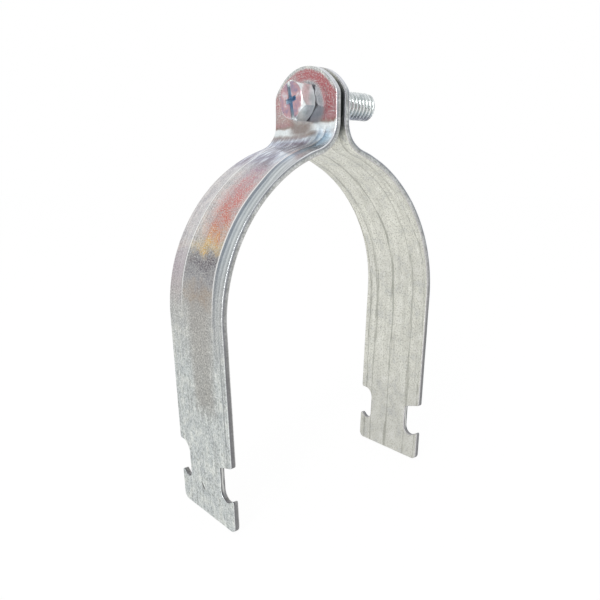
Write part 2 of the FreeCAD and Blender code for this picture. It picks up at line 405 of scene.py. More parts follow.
print("panel's middle stands out by", round(float(rise(ARC_MIDDLE, PANEL_MID_V)), 2), "mm")

# %% [markdown]
# ## Cut edges
# A ring of narrow faces round each cut edge gives the slight roundness that punching leaves: more on the
# side where the punch entered, less on the other. A plain solidify would give dead-sharp edges without the
# bright rim lines of the real strap. The profile is a quarter circle at each face and a straight wall
# between.

# %% Profile of the cut edge
OUTER_EDGE_R = 0.33
INNER_EDGE_R = 0.40
EDGE_HOLD = 0.07
ROUND_STEPS = 4


def edge_profile():
    """Cut edge from the outer face to the inner one: (offset outwards, height)."""
    quarter = [math.radians(90 * k / ROUND_STEPS) for k in range(ROUND_STEPS + 1)]
    upper = [(OUTER_EDGE_R * (math.sin(t) - 1), MID_T - OUTER_EDGE_R * (1 - math.cos(t))) for t in quarter]
    quarter.reverse()
    lower = [(INNER_EDGE_R * (math.sin(t) - 1), INNER_EDGE_R * (1 - math.cos(t)) - MID_T) for t in quarter]
    high, low = upper[-1][1], lower[0][1]
    middle = [(0.0, high + (low - high) * k / 4) for k in (1, 2, 3)]
    hold = -OUTER_EDGE_R - EDGE_HOLD
    return [(hold, MID_T)] + upper + middle + lower + [(hold, -MID_T)]


def loop_normals(loop, sign):
    """The loop's points and its outward normals, in the blank's plane."""
    points = np.array([p[:] for p in loop])
    along = np.roll(points, -1, 0) - np.roll(points, 1, 0)
    along /= np.linalg.norm(along, axis=1)[:, None]
    return points, sign * np.stack([along[:, 1], -along[:, 0]], 1)


def turn_of(loop):
    """+1 where the loop runs counter-clockwise, else -1."""
    area = sum(a.x * b.y - b.x * a.y for a, b in zip(loop, loop[1:] + loop[:1]))
    return 1 if area > 0 else -1


print("cut edge profile:", len(edge_profile()), "points")

# %% [markdown]
# ## Faces of the blank
# The blank's faces are filled with small triangles, with rows of points laid right on the creases so that
# they stay crisp. A point is kept where it lies inside the outline, outside the hole and clear of both. The
# distances for that are worked out in batches, which saves memory.

# %% Grid of the faces
GRID_U = 1.0
GRID_V = 0.9
CREASE_STEPS = (-0.5, -0.25, 0.0, 0.25, 0.5)
RIM_CLEAR = 0.45
BATCH = 500


def crossings(points, loop):
    """Whether each point lies inside the loop."""
    a = loop
    b = np.roll(loop, -1, 0)
    x, y = points[:, 0][:, None], points[:, 1][:, None]
    spans = (a[:, 1] > y) != (b[:, 1] > y)
    height = np.where(b[:, 1] == a[:, 1], 1, b[:, 1] - a[:, 1])
    at = a[:, 0] + (y - a[:, 1]) / height * (b[:, 0] - a[:, 0])
    return (spans & (x < at)).sum(1) % 2 == 1


def face_grid(loops):
    """Grid points inside the first loop and outside the others, clear of every loop."""
    grid = []
    evenly = np.arange(-HALF_W, HALF_W, GRID_V)
    for u in np.arange(0, BLANK_END, GRID_U):
        near, far = creases(u)
        lines = (near - PANEL_BEVEL, near, far, far + PANEL_BEVEL)
        fine = [line + step for line in lines for step in CREASE_STEPS]
        coarse = [v for v in evenly if min(abs(v - f) for f in fine) > GRID_V / 2]
        grid += [(u, v) for v in sorted(coarse + fine)]
    grid = np.array(grid)
    keep = crossings(grid, loops[0])
    for hole in loops[1:]:
        keep &= ~crossings(grid, hole)
    rim = np.concatenate(loops)
    for start in range(0, len(grid), BATCH):
        part = grid[start : start + BATCH]
        gap = np.sqrt(((part[:, None] - rim[None]) ** 2).sum(2)).min(1)
        keep[start : start + BATCH] &= gap > RIM_CLEAR
    return grid[keep]


print("rows of the grid along the blank:", math.ceil(BLANK_END / GRID_U))

# %% [markdown]
# The hole for the screw is a second loop in the ear. The screw stands just high enough for even a corner of
# its head to stay on the flat of the ear. Between the loops, the faces are filled by a Delaunay
# triangulation, which keeps the loops as borders and avoids long thin triangles.

# %% Flat layout
SCREW_R = 4.65
HEAD_FLATS = 11.5
HEAD_CORNER_R = HEAD_FLATS / math.sqrt(3)
SCREW_Z = BEND_Z + HEAD_CORNER_R
HOLE_U = EAR_TOP_Z - SCREW_Z
HOLE_STEP = 0.13
SAME_POINT = 1e-6


def flat_layout(hole_r):
    """The flat blank: rings of its cut edges, and points and triangles of its faces."""
    turns = np.arange(0, 2 * math.pi, HOLE_STEP)
    hole_loop = [Vector((HOLE_U + hole_r * math.cos(t), hole_r * math.sin(t))) for t in turns]
    profile = edge_profile()
    rings, insets = [], []
    for loop, sign in ((blank_loop, turn_of(blank_loop)), (hole_loop, -turn_of(hole_loop))):
        points, normals = loop_normals(loop, sign)
        rings.append([(points + normals * offset, height) for offset, height in profile])
        insets.append(points + normals * profile[0][0])
    flat = np.concatenate(insets + [face_grid(insets)])
    borders, start = [], 0
    for inset in insets:
        borders += [(start + k, start + (k + 1) % len(inset)) for k in range(len(inset))]
        start += len(inset)
    filled = delaunay_2d_cdt([Vector(p) for p in flat], borders, [], 0, SAME_POINT)
    flat = np.array([p[:] for p in filled[0]])
    faces = np.array(filled[2])
    middles = flat[faces].mean(1)
    inside = crossings(middles, insets[0]) & ~crossings(middles, insets[1])
    return rings, flat, faces[inside]


print("screw's axis", round(HOLE_U, 2), "mm below the ear's top, at z", round(SCREW_Z, 2), "mm")

# %% [markdown]
# ## Bending the blank
# The press is one function: it moves a flat point onto the strip's line, out by its height in the strip and
# by the panel and the waves. The left strap is the mirror image of the right one. A second helper finishes
# every mesh that is built here point by point.


# %% Bending and finishing
def bent(points, height, mirror):
    """Places of flat points (u, v) at a height above the strip's middle, in metres."""
    u, v = points[:, 0], points[:, 1]
    x, z, nx, nz = strip_line(u)
    out = height + rise(u, v)
    side = -1 if mirror else 1
    return np.stack([side * (x + nx * out), v, z + nz * out], 1) * MM


def finished_mesh(name, form):
    """Mesh of a bmesh, without its loose points and with its normals outwards."""
    loose = [v for v in form.verts if not v.link_faces]
    bmesh.ops.delete(form, geom=loose, context="VERTS")
    bmesh.ops.recalc_face_normals(form, faces=form.faces)
    open_edges = sum(1 for e in form.edges if len(e.link_faces) != 2)
    data = bpy.data.meshes.new(name)
    form.to_mesh(data)
    form.free()
    print(name, len(data.polygons), "faces,", open_edges, "open edges")
    return data


sides = [bent(np.array([[BLANK_END, 0.0]]), 0, mirror)[0][0] for mirror in (True, False)]
print("feet at x", [round(float(x) / MM, 1) for x in sides])

# %% [markdown]
# One function makes a strap: both faces from the triangles, then the rings of the cut edges. Each corner of
# a face keeps three notes as UV maps in millimetres: its place on the flat blank, its distance from the two
# creases, and its height in the strip's thickness. Grain, tints and rims use them, so they follow every
# bend.

# %% Strap maker
OUTER_FACE, INNER_FACE, CUT_EDGE = range(3)
SAME_PLACE = 1e-7


def make_strap(name, hole_r, mirror):
    """Pressed strap with a hole of this radius in its ear."""
    rings, flat, faces = flat_layout(hole_r)
    form = bmesh.new()
    maps = [form.loops.layers.uv.new(key) for key in ("blank", "creases", "depth")]
    notes = {}

    def add_points(points, height):
        near, far = creases(points[:, 0])
        made = [form.verts.new(p) for p in bent(points, height, mirror)]
        for i, vert in enumerate(made):
            u, v = points[i]
            notes[vert] = ((u, v), (v - near[i], v - far[i]), (height, 0))
        return made

    def add_face(corners, slot):
        face = form.faces.new(corners)
        face.material_index = slot
        face.smooth = True
        for corner in face.loops:
            for layer, note in zip(maps, notes[corner.vert]):
                corner[layer].uv = note

    for height, slot in ((MID_T, OUTER_FACE), (-MID_T, INNER_FACE)):
        made = add_points(flat, height)
        for face in faces:
            add_face([made[i] for i in face], slot)
    for ring in rings:
        rows = [add_points(points, height) for points, height in ring]
        for k in range(len(rows) - 1):
            outer_side = k <= ROUND_STEPS
            inner_side = k >= len(rows) - 2 - ROUND_STEPS
            slot = OUTER_FACE if outer_side else INNER_FACE if inner_side else CUT_EDGE
            a, b = rows[k], rows[k + 1]
            for i in range(len(a)):
                j = (i + 1) % len(a)
                add_face([a[i], a[j], b[j], b[i]], slot)
    bmesh.ops.remove_doubles(form, verts=form.verts, dist=SAME_PLACE)
    return new_object(name, finished_mesh(name, form))


print("slots of a strap:", {"outer face": OUTER_FACE, "inner face": INNER_FACE, "cut edge": CUT_EDGE})

# %% [markdown]
# The left ear has a clearance hole, and the screw bites into the right one, whose tapped hole is hardly
# wider than the thread. Each strap takes the place of the imported model's strap, which is hidden, and
# rides its body.

# %% Both straps
CLEARANCE = 0.3
TAPPED_CLEARANCE = 0.05

left_strap = make_strap("left_strap_pressed", SCREW_R + CLEARANCE, True)
right_strap = make_strap("right_strap_pressed", SCREW_R + TAPPED_CLEARANCE, False)
places = ((left_strap, "strap_left", "left_half"), (right_strap, "strap_right", "right_half"))
for piece, node, body in places:
    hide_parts(node)
    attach(piece, body)
    print(piece.name, "takes the place of", node)

# %% [markdown]
# ## The screw
# The real screw is cold-headed and thread-rolled: a hexagon head with a slot and a cross recess, and a
# thread of 16 turns to the inch over the whole shank. The head is cut with booleans, as a maker would mill
# it. Two crowns round the head's corners. Each is a list of depths from that end of the head, with a radius.

# %% Screw sizes
SCREW_LENGTH = 28.6
SCREW_PITCH = 25.4 / 16
HEAD_H = 5.6
HEAD_TURN = math.radians(15)
FACE_CROWN = ((-0.5, 4.8), (0.3, 5.85), (1.4, 6.7), (1.7, 6.9))
SEAT_CROWN = ((-0.5, 4.9), (0.2, 5.85), (0.9, 6.9))
HEAD_SEAT = 0.03
SLOT_W = 1.7
SLOT_DEPTH = 1.2
SLOT_TURN = math.radians(-12.6)
CROSS_W = 1.5
CROSS_SPAN = 5.6
CROSS_BOTTOM_SPAN = 2.6
CROSS_DEPTH = 2.8
SEAT_X = -EAR_GAP / 2 - STRAP_T - HEAD_SEAT
FACE_X = SEAT_X - HEAD_H
print("head from x", round(FACE_X, 2), "to", round(SEAT_X, 2), "mm")

# %% [markdown]
# The head's blank and each cutter are small closed meshes: a prism between two outlines, or a form turned
# on a lathe. Both are written as lists of points, because they have to be exact where they meet.

# %% Prisms and turned forms
LATHE_STEPS = 96


def solid(name, points, faces):
    """Closed object from points in mm, with its normals outwards."""
    data = bpy.data.meshes.new(name)
    data.from_pydata([tuple(Vector(p) * MM) for p in points], [], faces)
    form = bmesh.new()
    form.from_mesh(data)
    bmesh.ops.recalc_face_normals(form, faces=form.faces)
    form.to_mesh(data)
    form.free()
    return new_object(name, data)


def prism_along_x(name, x_start, profile, x_end, end_profile=None):
    """Closed prism between two outlines of (y, z) points, or with the same one at both ends."""
    count = len(profile)
    ends = ((x_start, profile), (x_end, end_profile or profile))
    points = [(x, y, z) for x, outline in ends for y, z in outline]
    walls = [(i, (i + 1) % count, count + (i + 1) % count, count + i) for i in range(count)]
    return solid(name, points, walls + [tuple(range(count)), tuple(range(count, 2 * count))])


def lathe_along_x(name, stations):
    """Closed turned form through (x, radius) stations about the screw's axis."""
    points, faces = [], []
    for x, radius in stations:
        for k in range(LATHE_STEPS):
            t = 2 * math.pi * k / LATHE_STEPS
            points.append((x, radius * math.cos(t), SCREW_Z + radius * math.sin(t)))
    last = (len(stations) - 1) * LATHE_STEPS
    for row in range(0, last, LATHE_STEPS):
        for k in range(LATHE_STEPS):
            a, b = row + k, row + (k + 1) % LATHE_STEPS
            faces.append((a, b, b + LATHE_STEPS, a + LATHE_STEPS))
    return solid(name, points, faces + [tuple(range(LATHE_STEPS)), tuple(range(last, last + LATHE_STEPS))])


print("lathe turns in steps of", 360 / LATHE_STEPS, "degrees")

# %% [markdown]
# Booleans in Blender work between objects, so a helper applies one, throws the cutter away and cleans the
# cut up, because the next boolean needs a mesh without slivers.

# %% Cutting
SLIVER = 0.004
FLAT_TO = math.radians(0.5)


def applied(piece):
    """Bakes a piece's modifiers into its mesh."""
    graph = bpy.context.evaluated_depsgraph_get()
    data = bpy.data.meshes.new_from_object(piece.evaluated_get(graph))
    piece.modifiers.clear()
    piece.data = data


def cut(piece, cutter, operation="DIFFERENCE"):
    """Cuts a piece, or keeps what it shares with the cutter, and tidies its mesh."""
    step = piece.modifiers.new("cut", "BOOLEAN")
    step.operation = operation
    step.solver = "EXACT"
    step.object = cutter
    applied(piece)
    bpy.data.objects.remove(cutter)
    form = bmesh.new()
    form.from_mesh(piece.data)
    bmesh.ops.remove_doubles(form, verts=form.verts, dist=SLIVER * MM)
    bmesh.ops.dissolve_degenerate(form, edges=form.edges, dist=SLIVER * MM)
    bmesh.ops.dissolve_limit(form, angle_limit=FLAT_TO, verts=form.verts, edges=form.edges)
    form.to_mesh(piece.data)
    form.free()


print("slivers up to", SLIVER, "mm are merged after a cut")

# %% [markdown]
# The head starts as a hexagonal prism. A turned form, crowned above and below, takes off its corners, which
# rounds both ends of every flat. The slot goes in next, then the recess, whose wings slope inwards. Last, a
# small bevel catches the light along the edges.

# %% Head of the screw
CUT_CLEAR = 1.0
EDGE_BEVEL = 0.12
BEVEL_FROM = math.radians(25)


def turned_rectangle(half_y, half_z, turn):
    """Outline of a rectangle round the screw's axis."""
    corners = [(-half_y, -half_z), (half_y, -half_z), (half_y, half_z), (-half_y, half_z)]
    cos, sin = math.cos(turn), math.sin(turn)
    return [(y * cos - z * sin, SCREW_Z + y * sin + z * cos) for y, z in corners]


angles = [HEAD_TURN + math.radians(60 * k) for k in range(6)]
hexagon = [(HEAD_CORNER_R * math.cos(t), SCREW_Z + HEAD_CORNER_R * math.sin(t)) for t in angles]
screw = prism_along_x("screw_threaded", FACE_X, hexagon, SEAT_X)
crowned = [(FACE_X + deep, radius) for deep, radius in FACE_CROWN]
crowned += [(SEAT_X - deep, radius) for deep, radius in reversed(SEAT_CROWN)]
cut(screw, lathe_along_x("turned", crowned), "INTERSECT")
across_head = turned_rectangle(SLOT_W / 2, HEAD_FLATS, SLOT_TURN)
cut(screw, prism_along_x("slot", FACE_X - CUT_CLEAR, across_head, FACE_X + SLOT_DEPTH))
grow = (CROSS_SPAN - CROSS_BOTTOM_SPAN) / CROSS_DEPTH * CUT_CLEAR
for turn in (SLOT_TURN, SLOT_TURN + math.pi / 2):
    wide = turned_rectangle(CROSS_W / 2, (CROSS_SPAN + grow) / 2, turn)
    narrow = turned_rectangle(CROSS_W / 2, CROSS_BOTTOM_SPAN / 2, turn)
    cut(screw, prism_along_x("wing", FACE_X - CUT_CLEAR, wide, FACE_X + CROSS_DEPTH, narrow))
bevel = screw.modifiers.new("edge", "BEVEL")
bevel.width = EDGE_BEVEL * MM
bevel.segments = 2
bevel.limit_method = "ANGLE"
bevel.angle_limit = BEVEL_FROM
applied(screw)
form = bmesh.new()
form.from_mesh(screw.data)
print("head", len(form.faces), "faces,", round(form.calc_volume() / MM**3), "cubic mm")
form.free()

# %% [markdown]
# The thread's section over one pitch is a narrow crest, a 60 degree flank, a narrow root and a flank back.
# It is cut a little deeper than the standard depth, so that its roots show dark. The thread is a grid wound
# round the axis, so that crest and root run exactly along the helix. Near the free end a cone trims its
# points, which is the chamfer that starts the screw into its tapped hole.

# %% Points of the thread
DEPTH_TO_PITCH = 0.5413
DEEPENED = 1.08
THREAD_DEPTH = DEPTH_TO_PITCH * SCREW_PITCH * DEEPENED
CREST = SCREW_PITCH / 8
ROOT = SCREW_PITCH / 5
THREAD_STEPS = 72
POINT_CHAMFER = 1.0
INTO_HEAD = 0.3
END_INSET = 0.1
END_R = SCREW_R - THREAD_DEPTH - END_INSET
END_X = SEAT_X + SCREW_LENGTH
START_X = SEAT_X - INTO_HEAD
FLANK = (SCREW_PITCH - CREST - ROOT) / 2
THREAD_TURNS = math.ceil((END_X - START_X) / SCREW_PITCH) + 2
SECTION = (
    (0.0, 0.0),
    (CREST, 0.0),
    (CREST + FLANK / 2, 0.5),
    (CREST + FLANK, 1.0),
    (CREST + FLANK + ROOT, 1.0),
    (SCREW_PITCH - FLANK / 2, 0.5),
)


def thread_points(form):
    """Rows of points, each one turn along the helix. A row ends where the one a pitch further on starts."""
    rows = []
    for turn in range(THREAD_TURNS):
        for along, depth in SECTION:
            row = []
            for k in range(THREAD_STEPS):
                t = 2 * math.pi * k / THREAD_STEPS
                x = START_X - SCREW_PITCH + SCREW_PITCH * (turn + k / THREAD_STEPS) + along
                x = min(max(x, START_X), END_X)
                trim = SCREW_R - max(0.0, POINT_CHAMFER - (END_X - x))
                radius = min(SCREW_R - THREAD_DEPTH * depth, max(trim, END_R))
                if x in (START_X, END_X):
                    radius = END_R
                point = Vector((x, radius * math.cos(t), SCREW_Z - radius * math.sin(t))) * MM
                row.append(form.verts.new(point))
            rows.append(row)
    return rows


print("thread", round(THREAD_DEPTH, 2), "mm deep, pitch", round(SCREW_PITCH, 3), "mm")

# %% [markdown]
# Faces join each row to the next one. At the end of a turn they go on into the rows a pitch further on, so
# the thread is one unbroken skin. Both ends are closed with a flat cap, and the thread is joined to the
# head.

# %% Thread, joined to the head
SAME_THREAD_PLACE = 1e-8
CAP_CORNERS = 6


def thread_mesh():
    """Closed skin of the whole thread."""
    form = bmesh.new()
    rows = thread_points(form)
    step = len(SECTION)
    for n in range(len(rows) - 1):
        for k in range(THREAD_STEPS):
            last = k == THREAD_STEPS - 1
            if last and n + 1 + step >= len(rows):
                continue
            a, d = rows[n][k], rows[n + 1][k]
            b, c = rows[n][(k + 1) % THREAD_STEPS], rows[n + 1][(k + 1) % THREAD_STEPS]
            if last:
                b, c = rows[n + step][0], rows[n + 1 + step][0]
            form.faces.new((a, b, c, d))
    bmesh.ops.remove_doubles(form, verts=form.verts, dist=SAME_THREAD_PLACE)
    bmesh.ops.dissolve_degenerate(form, edges=form.edges, dist=SAME_THREAD_PLACE)
    rim = [e for e in form.edges if len(e.link_faces) == 1]
    bmesh.ops.holes_fill(form, edges=rim, sides=0)
    for face in form.faces:
        face.smooth = len(face.verts) < CAP_CORNERS
    return finished_mesh("thread", form)


joined = bmesh.new()
joined.from_mesh(screw.data)
joined.from_mesh(thread_mesh())
joined.to_mesh(screw.data)
joined.free()
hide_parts("screw")
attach(screw, "screw")
print("screw", len(screw.data.polygons), "faces")

# %% [markdown]
# ## Galvanised strip, outer face
# The strip was zinc-coated before it was pressed. Zinc gives a light grey metal with a fine grain, faint
# rolling streaks along the strip and small dark specks. A noise's scale is how many of its blotches fit in
# one unit. The blank's map is in millimetres, so each scale is written as a number to the centimetre. The
# grain is drawn half a millimetre wide, coarser than the real one, so that it shows. The layers are mixed
# one over another, as finishes are laid.

# %% Outer face: zinc grain and streaks
PER_CM = 0.1

strip_outer, tree = new_material("galvanised_strip_bright")
blank = add(tree, "UVMap", uv_map="blank")
along, across = add(tree, "SeparateXYZ", {0: blank}).outputs[:2]
share = add(tree, "MapRange", {0: along, 2: BLANK_END})
lengthwise = add(tree, "Mapping", {"Vector": blank, "Scale": (0.05, 1, 1)})
mottle = add(tree, "TexNoise", {"Vector": blank, "Scale": 3 * PER_CM, "Detail": 4.0, "Roughness": 0.6})
streaks = add(tree, "TexNoise", {"Vector": lengthwise, "Scale": 9 * PER_CM, "Detail": 3.0, "Roughness": 0.65})
grain = add(tree, "TexNoise", {"Vector": blank, "Scale": 19 * PER_CM, "Detail": 3.0, "Roughness": 0.65})
zinc = add(tree, "ValToRGB", {0: mottle}, stops=((0.34, "#BCC1C2"), (0.50, "#CFD4D2"), (0.64, "#E2E5E0")))
streaky = add(tree, "MapRange", {0: streaks, 1: 0.43, 2: 0.68, 4: 0.7})
print("zinc layer:", len(tree.nodes), "nodes")

# %% [markdown]
# Down the middle of the upper leg the zinc is duller, where the strip slid over the die, and dust has
# settled just above.

# %% Outer face: dull patch and dust
PATCH_TO_NEAR = 2.6

jagged = add(tree, "Math", {0: mottle, 1: 16.0, 2: -8.0}, operation="MULTIPLY_ADD")
patch_at = add(tree, "Math", {0: along, 1: jagged}, operation="ADD")
patch_at = add(tree, "MapRange", {0: patch_at, 2: BLANK_END})
along_patch = add(tree, "ValToRGB", {0: patch_at}, stops=((0.47, 0.0), (0.54, 0.8), (0.75, 1.0), (0.79, 0.0)))
off_middle = add(tree, "Math", {0: across, 1: PATCH_TO_NEAR}, operation="ADD")
off_middle = add(tree, "Math", {0: off_middle}, operation="ABSOLUTE")
off_middle = add(tree, "Math", {0: jagged, 1: 0.35, 2: off_middle}, operation="MULTIPLY_ADD")
patch = add(tree, "MapRange", {0: off_middle, 1: 3.5, 2: 8.5, 3: 0.7, 4: 0.0},
            interpolation_type="SMOOTHSTEP")
patch = add(tree, "Math", {0: patch, 1: along_patch}, operation="MULTIPLY")
dusty = add(tree, "ValToRGB", {0: share}, stops=((0.44, 0.0), (0.52, 0.55), (0.60, 0.35), (0.70, 0.0)))
for amount, colour in ((streaky, "#A9ACAA"), (patch, "#A4A19B"), (dusty, "#A39D98")):
    zinc = add(tree, "Mix", {0: amount, 6: zinc, 7: colour}, data_type="RGBA")
grain_grey = add(tree, "ValToRGB", {0: grain}, stops=((0.33, 0.08), (0.67, 0.90)))
zinc = add(tree, "Mix", {0: 0.7, 6: zinc, 7: grain_grey}, data_type="RGBA", blend_type="OVERLAY")
print("with dull patch:", len(tree.nodes), "nodes")

# %% [markdown]
# A short scratch marks the tab, small dark pits in the zinc are scattered over the leg, and the edge of the
# die has left a groove along its near side.

# %% Outer face: scratch, pits and groove
SCRATCH_AT = (153.4, 2.2, 0)
SCRATCH_TURN = math.radians(-38)
SCRATCH_SIZE = (1.8, 0.5, 1)
GROOVE_TO_NEAR = 13.9

scratch = add(tree, "VectorMath", {0: blank, 1: SCRATCH_AT}, operation="SUBTRACT")
scratch = add(tree, "Mapping", {"Vector": scratch, "Rotation": (0, 0, SCRATCH_TURN), "Scale": SCRATCH_SIZE},
              vector_type="TEXTURE")
scratch = add(tree, "VectorMath", {0: scratch}, operation="LENGTH").outputs["Value"]
scratch = add(tree, "MapRange", {0: scratch, 1: 0.6, 2: 1.0, 3: 0.95, 4: 0.0})
pits = add(tree, "TexNoise", {"Vector": blank, "Scale": 9.5 * PER_CM, "Detail": 2.0, "Roughness": 0.6})
on_leg = add(tree, "MapRange", {0: along, 1: 92.0, 2: 118.0, 4: 0.65})
pits = add(tree, "MapRange", {0: pits, 1: 0.57, 2: 0.64})
pits = add(tree, "Math", {0: pits, 1: on_leg}, operation="MULTIPLY")
groove = add(tree, "Math", {0: across, 1: GROOVE_TO_NEAR}, operation="ADD")
groove = add(tree, "Math", {0: groove}, operation="ABSOLUTE")
groove = add(tree, "MapRange", {0: groove, 1: 0.15, 2: 0.45, 3: 0.55, 4: 0.0})
groove_span = add(tree, "ValToRGB", {0: share}, stops=((0.54, 0.0), (0.60, 1.0), (0.80, 1.0), (0.86, 0.0)))
groove = add(tree, "Math", {0: groove, 1: groove_span}, operation="MULTIPLY")
for amount, colour in ((scratch, "#5C5C5A"), (pits, "#80827F"), (groove, "#7E8184")):
    zinc = add(tree, "Mix", {0: amount, 6: zinc, 7: colour}, data_type="RGBA")
print("with wear:", len(tree.nodes), "nodes")

# %% [markdown]
# A passivating film lies over the zinc. Where the press has polished the strap, the film is thin enough to
# show its colours: rose on the ear, and violet, rose, orange and yellow down the panel of the arc. The same
# ramp also carries painted reflections in the bend and at the top of the arc: brown bands, white and blue
# highlight bands and dark violet. One ramp holds the colours in order along the strap, at millimetres from
# the ear's top, and a second holds their strength. Noise moves both to and fro, so that no colour ends in a
# straight line.

# %% Outer face: colours of the film
# The stops from 18.8 to 42 mm are painted reflections: brown bands, white and blue highlight bands and dark
# violet. The other stops are the film's own tints.
FILM_AND_REFLECTIONS = (
    (0.0, "#B0656B"), (12.0, "#AA5E63"), (18.2, "#A5636A"), (18.8, "#84675B"), (19.2, "#8B6E62"),
    (19.8, "#F0F6F8"), (21.8, "#E6ECEE"), (22.6, "#876F65"), (23.8, "#8F7E78"), (24.8, "#D8E2E9"),
    (27.5, "#A3A9B7"), (31.0, "#8D95A6"), (33.5, "#CFDDE8"), (36.5, "#8E96A8"), (39.5, "#777387"),
    (42.0, "#75505C"), (45.5, "#98708A"), (50.0, "#B97C84"), (58.0, "#C46663"), (66.5, "#BF684F"),
    (70.8, "#CB8A55"), (74.0, "#D3AE62"), (76.8, "#6C6368"), (80.0, "#645F69"), (84.0, "#8F9097"),
    (88.5, "#A38F7C"), (93.0, "#A5A4A2"),
)
STRENGTH = (
    (0.0, 1.0), (17.0, 0.9), (18.5, 0.8), (24.0, 0.75), (28.0, 0.6), (38.0, 0.9), (46.0, 0.9),
    (60.0, 0.95), (74.0, 0.9), (79.0, 0.95), (84.0, 0.75), (90.0, 0.6), (98.0, 0.0),
)
wander = add(tree, "TexNoise", {"Vector": blank, "Scale": 2.2 * PER_CM, "Detail": 4.0, "Roughness": 0.65})
wander = add(tree, "MapRange", {0: wander, 1: 0.3, 2: 0.7, 3: -3.0, 4: 3.0}, clamp=False)
on_arc = add(tree, "MapRange", {0: along, 1: 24.0, 2: 44.0, 3: 0.15, 4: 1.0})
wander = add(tree, "Math", {0: wander, 1: on_arc}, operation="MULTIPLY")
to_near = add(tree, "MapRange", {0: across, 1: 4.0, 2: -5.0, 4: 1.6}, interpolation_type="SMOOTHSTEP")
in_bend = add(tree, "MapRange", {0: along, 1: 30.0, 2: 38.0, 3: 1.0, 4: 0.0})
to_near = add(tree, "Math", {0: to_near, 1: in_bend}, operation="MULTIPLY")
film_at = add(tree, "Math", {0: along, 1: wander}, operation="ADD")
film_at = add(tree, "Math", {0: film_at, 1: to_near}, operation="ADD")
film_at = add(tree, "MapRange", {0: film_at, 2: BLANK_END})
film = add(tree, "ValToRGB", {0: film_at}, stops=[(mm / BLANK_END, code) for mm, code in FILM_AND_REFLECTIONS])
strength = add(tree, "ValToRGB", {0: film_at}, stops=[(mm / BLANK_END, value) for mm, value in STRENGTH])
print("film colours:", len(FILM_AND_REFLECTIONS), "stops")

# %% [markdown]
# On the arc the film shows only on the panel, strongest beside the near crease. The second UV map gives the
# distance from each crease in millimetres.

# %% Outer face: film on the panel
from_near, from_far = add(tree, "SeparateXYZ", {0: add(tree, "UVMap", uv_map="creases")}).outputs[:2]
beside = add(tree, "MapRange", {0: from_near, 2: 20.0})
beside = add(tree, "ValToRGB", {0: beside},
             stops=((0.0, 0.45), (0.12, 0.8), (0.24, 1.0), (0.45, 0.9), (0.62, 0.5), (0.82, 0.22)))
low_arc = add(tree, "MapRange", {0: along, 1: 72.0, 2: 78.0, 4: 0.8})
on_panel = add(tree, "Mix", {0: low_arc, 2: beside, 3: 0.9})
inside = add(tree, "MapRange", {0: from_near, 1: -0.4, 2: 0.2})
within = add(tree, "MapRange", {0: from_far, 1: -0.4, 2: 0.4, 3: 1.0, 4: 0.35})
for limit in (inside, within):
    on_panel = add(tree, "Math", {0: on_panel, 1: limit}, operation="MULTIPLY")
below_bend = add(tree, "MapRange", {0: along, 1: 36.0, 2: 44.0})
on_strap = add(tree, "Mix", {0: below_bend, 2: 1.0, 3: on_panel})
print("with panel:", len(tree.nodes), "nodes")

# %% [markdown]
# On the ear the film makes a rosy ring. It leaves the metal round the screw a quiet lavender grey, and the
# rounded top rim has been rubbed clean.

# %% Outer face: film on the ear
RING_MIDDLE = (HOLE_U + 1.8, -1.4, 0)
RING_R = (7.4, 9.4)
CROWN_RUBBED = (1.6, 0.7)

from_screw = add(tree, "VectorMath", {0: blank, 1: RING_MIDDLE}, operation="DISTANCE").outputs["Value"]
ring = add(tree, "MapRange", {0: from_screw, 1: RING_R[0], 2: RING_R[1]}, interpolation_type="SMOOTHSTEP")
near_side = add(tree, "MapRange", {0: across, 1: 12.0, 2: -5.0, 3: 0.7, 4: 1.35},
                interpolation_type="SMOOTHSTEP")
ear_only = add(tree, "MapRange", {0: along, 1: 16.0, 2: 18.5, 3: 0.6, 4: 0.0})
quiet = add(tree, "MapRange", {0: from_screw, 1: RING_R[0], 2: RING_R[1], 3: 1.0, 4: 0.0})
quiet = add(tree, "Math", {0: quiet, 1: ear_only}, operation="MULTIPLY")
zinc = add(tree, "Mix", {0: quiet, 6: zinc, 7: "#958E98"}, data_type="RGBA")
from_crown = add(tree, "VectorMath", {0: blank, 1: (ear_r, 0, 0)}, operation="DISTANCE").outputs["Value"]
worn_crown = add(tree, "MapRange", {0: from_crown, 1: ear_r - CROWN_RUBBED[0], 2: ear_r - CROWN_RUBBED[1]})
rounded = add(tree, "MapRange", {0: along, 1: 6.0, 2: 9.5, 3: -0.95, 4: -0.2})
worn_crown = add(tree, "Math", {0: worn_crown, 1: rounded, 2: 1.0}, operation="MULTIPLY_ADD")
for limit in (near_side, worn_crown):
    ring = add(tree, "Math", {0: ring, 1: limit}, operation="MULTIPLY")
below_ear = add(tree, "MapRange", {0: along, 1: 16.0, 2: 18.5})
shows = add(tree, "Mix", {0: below_ear, 2: ring, 3: on_strap})
print("with ring:", len(tree.nodes), "nodes")

# %% [markdown]
# Two noises break the film up into sparkles and blotches, less so in the polished bend. Below the head a
# brown painted reflection lies over it, and the same painted reflection runs low on the far half of the ear.
# Beyond the far crease only a faint violet is left.

# %% Outer face: film laid over the zinc
BROWN_REFLECTION_MIDDLE = (18.5, 1.5, 0)

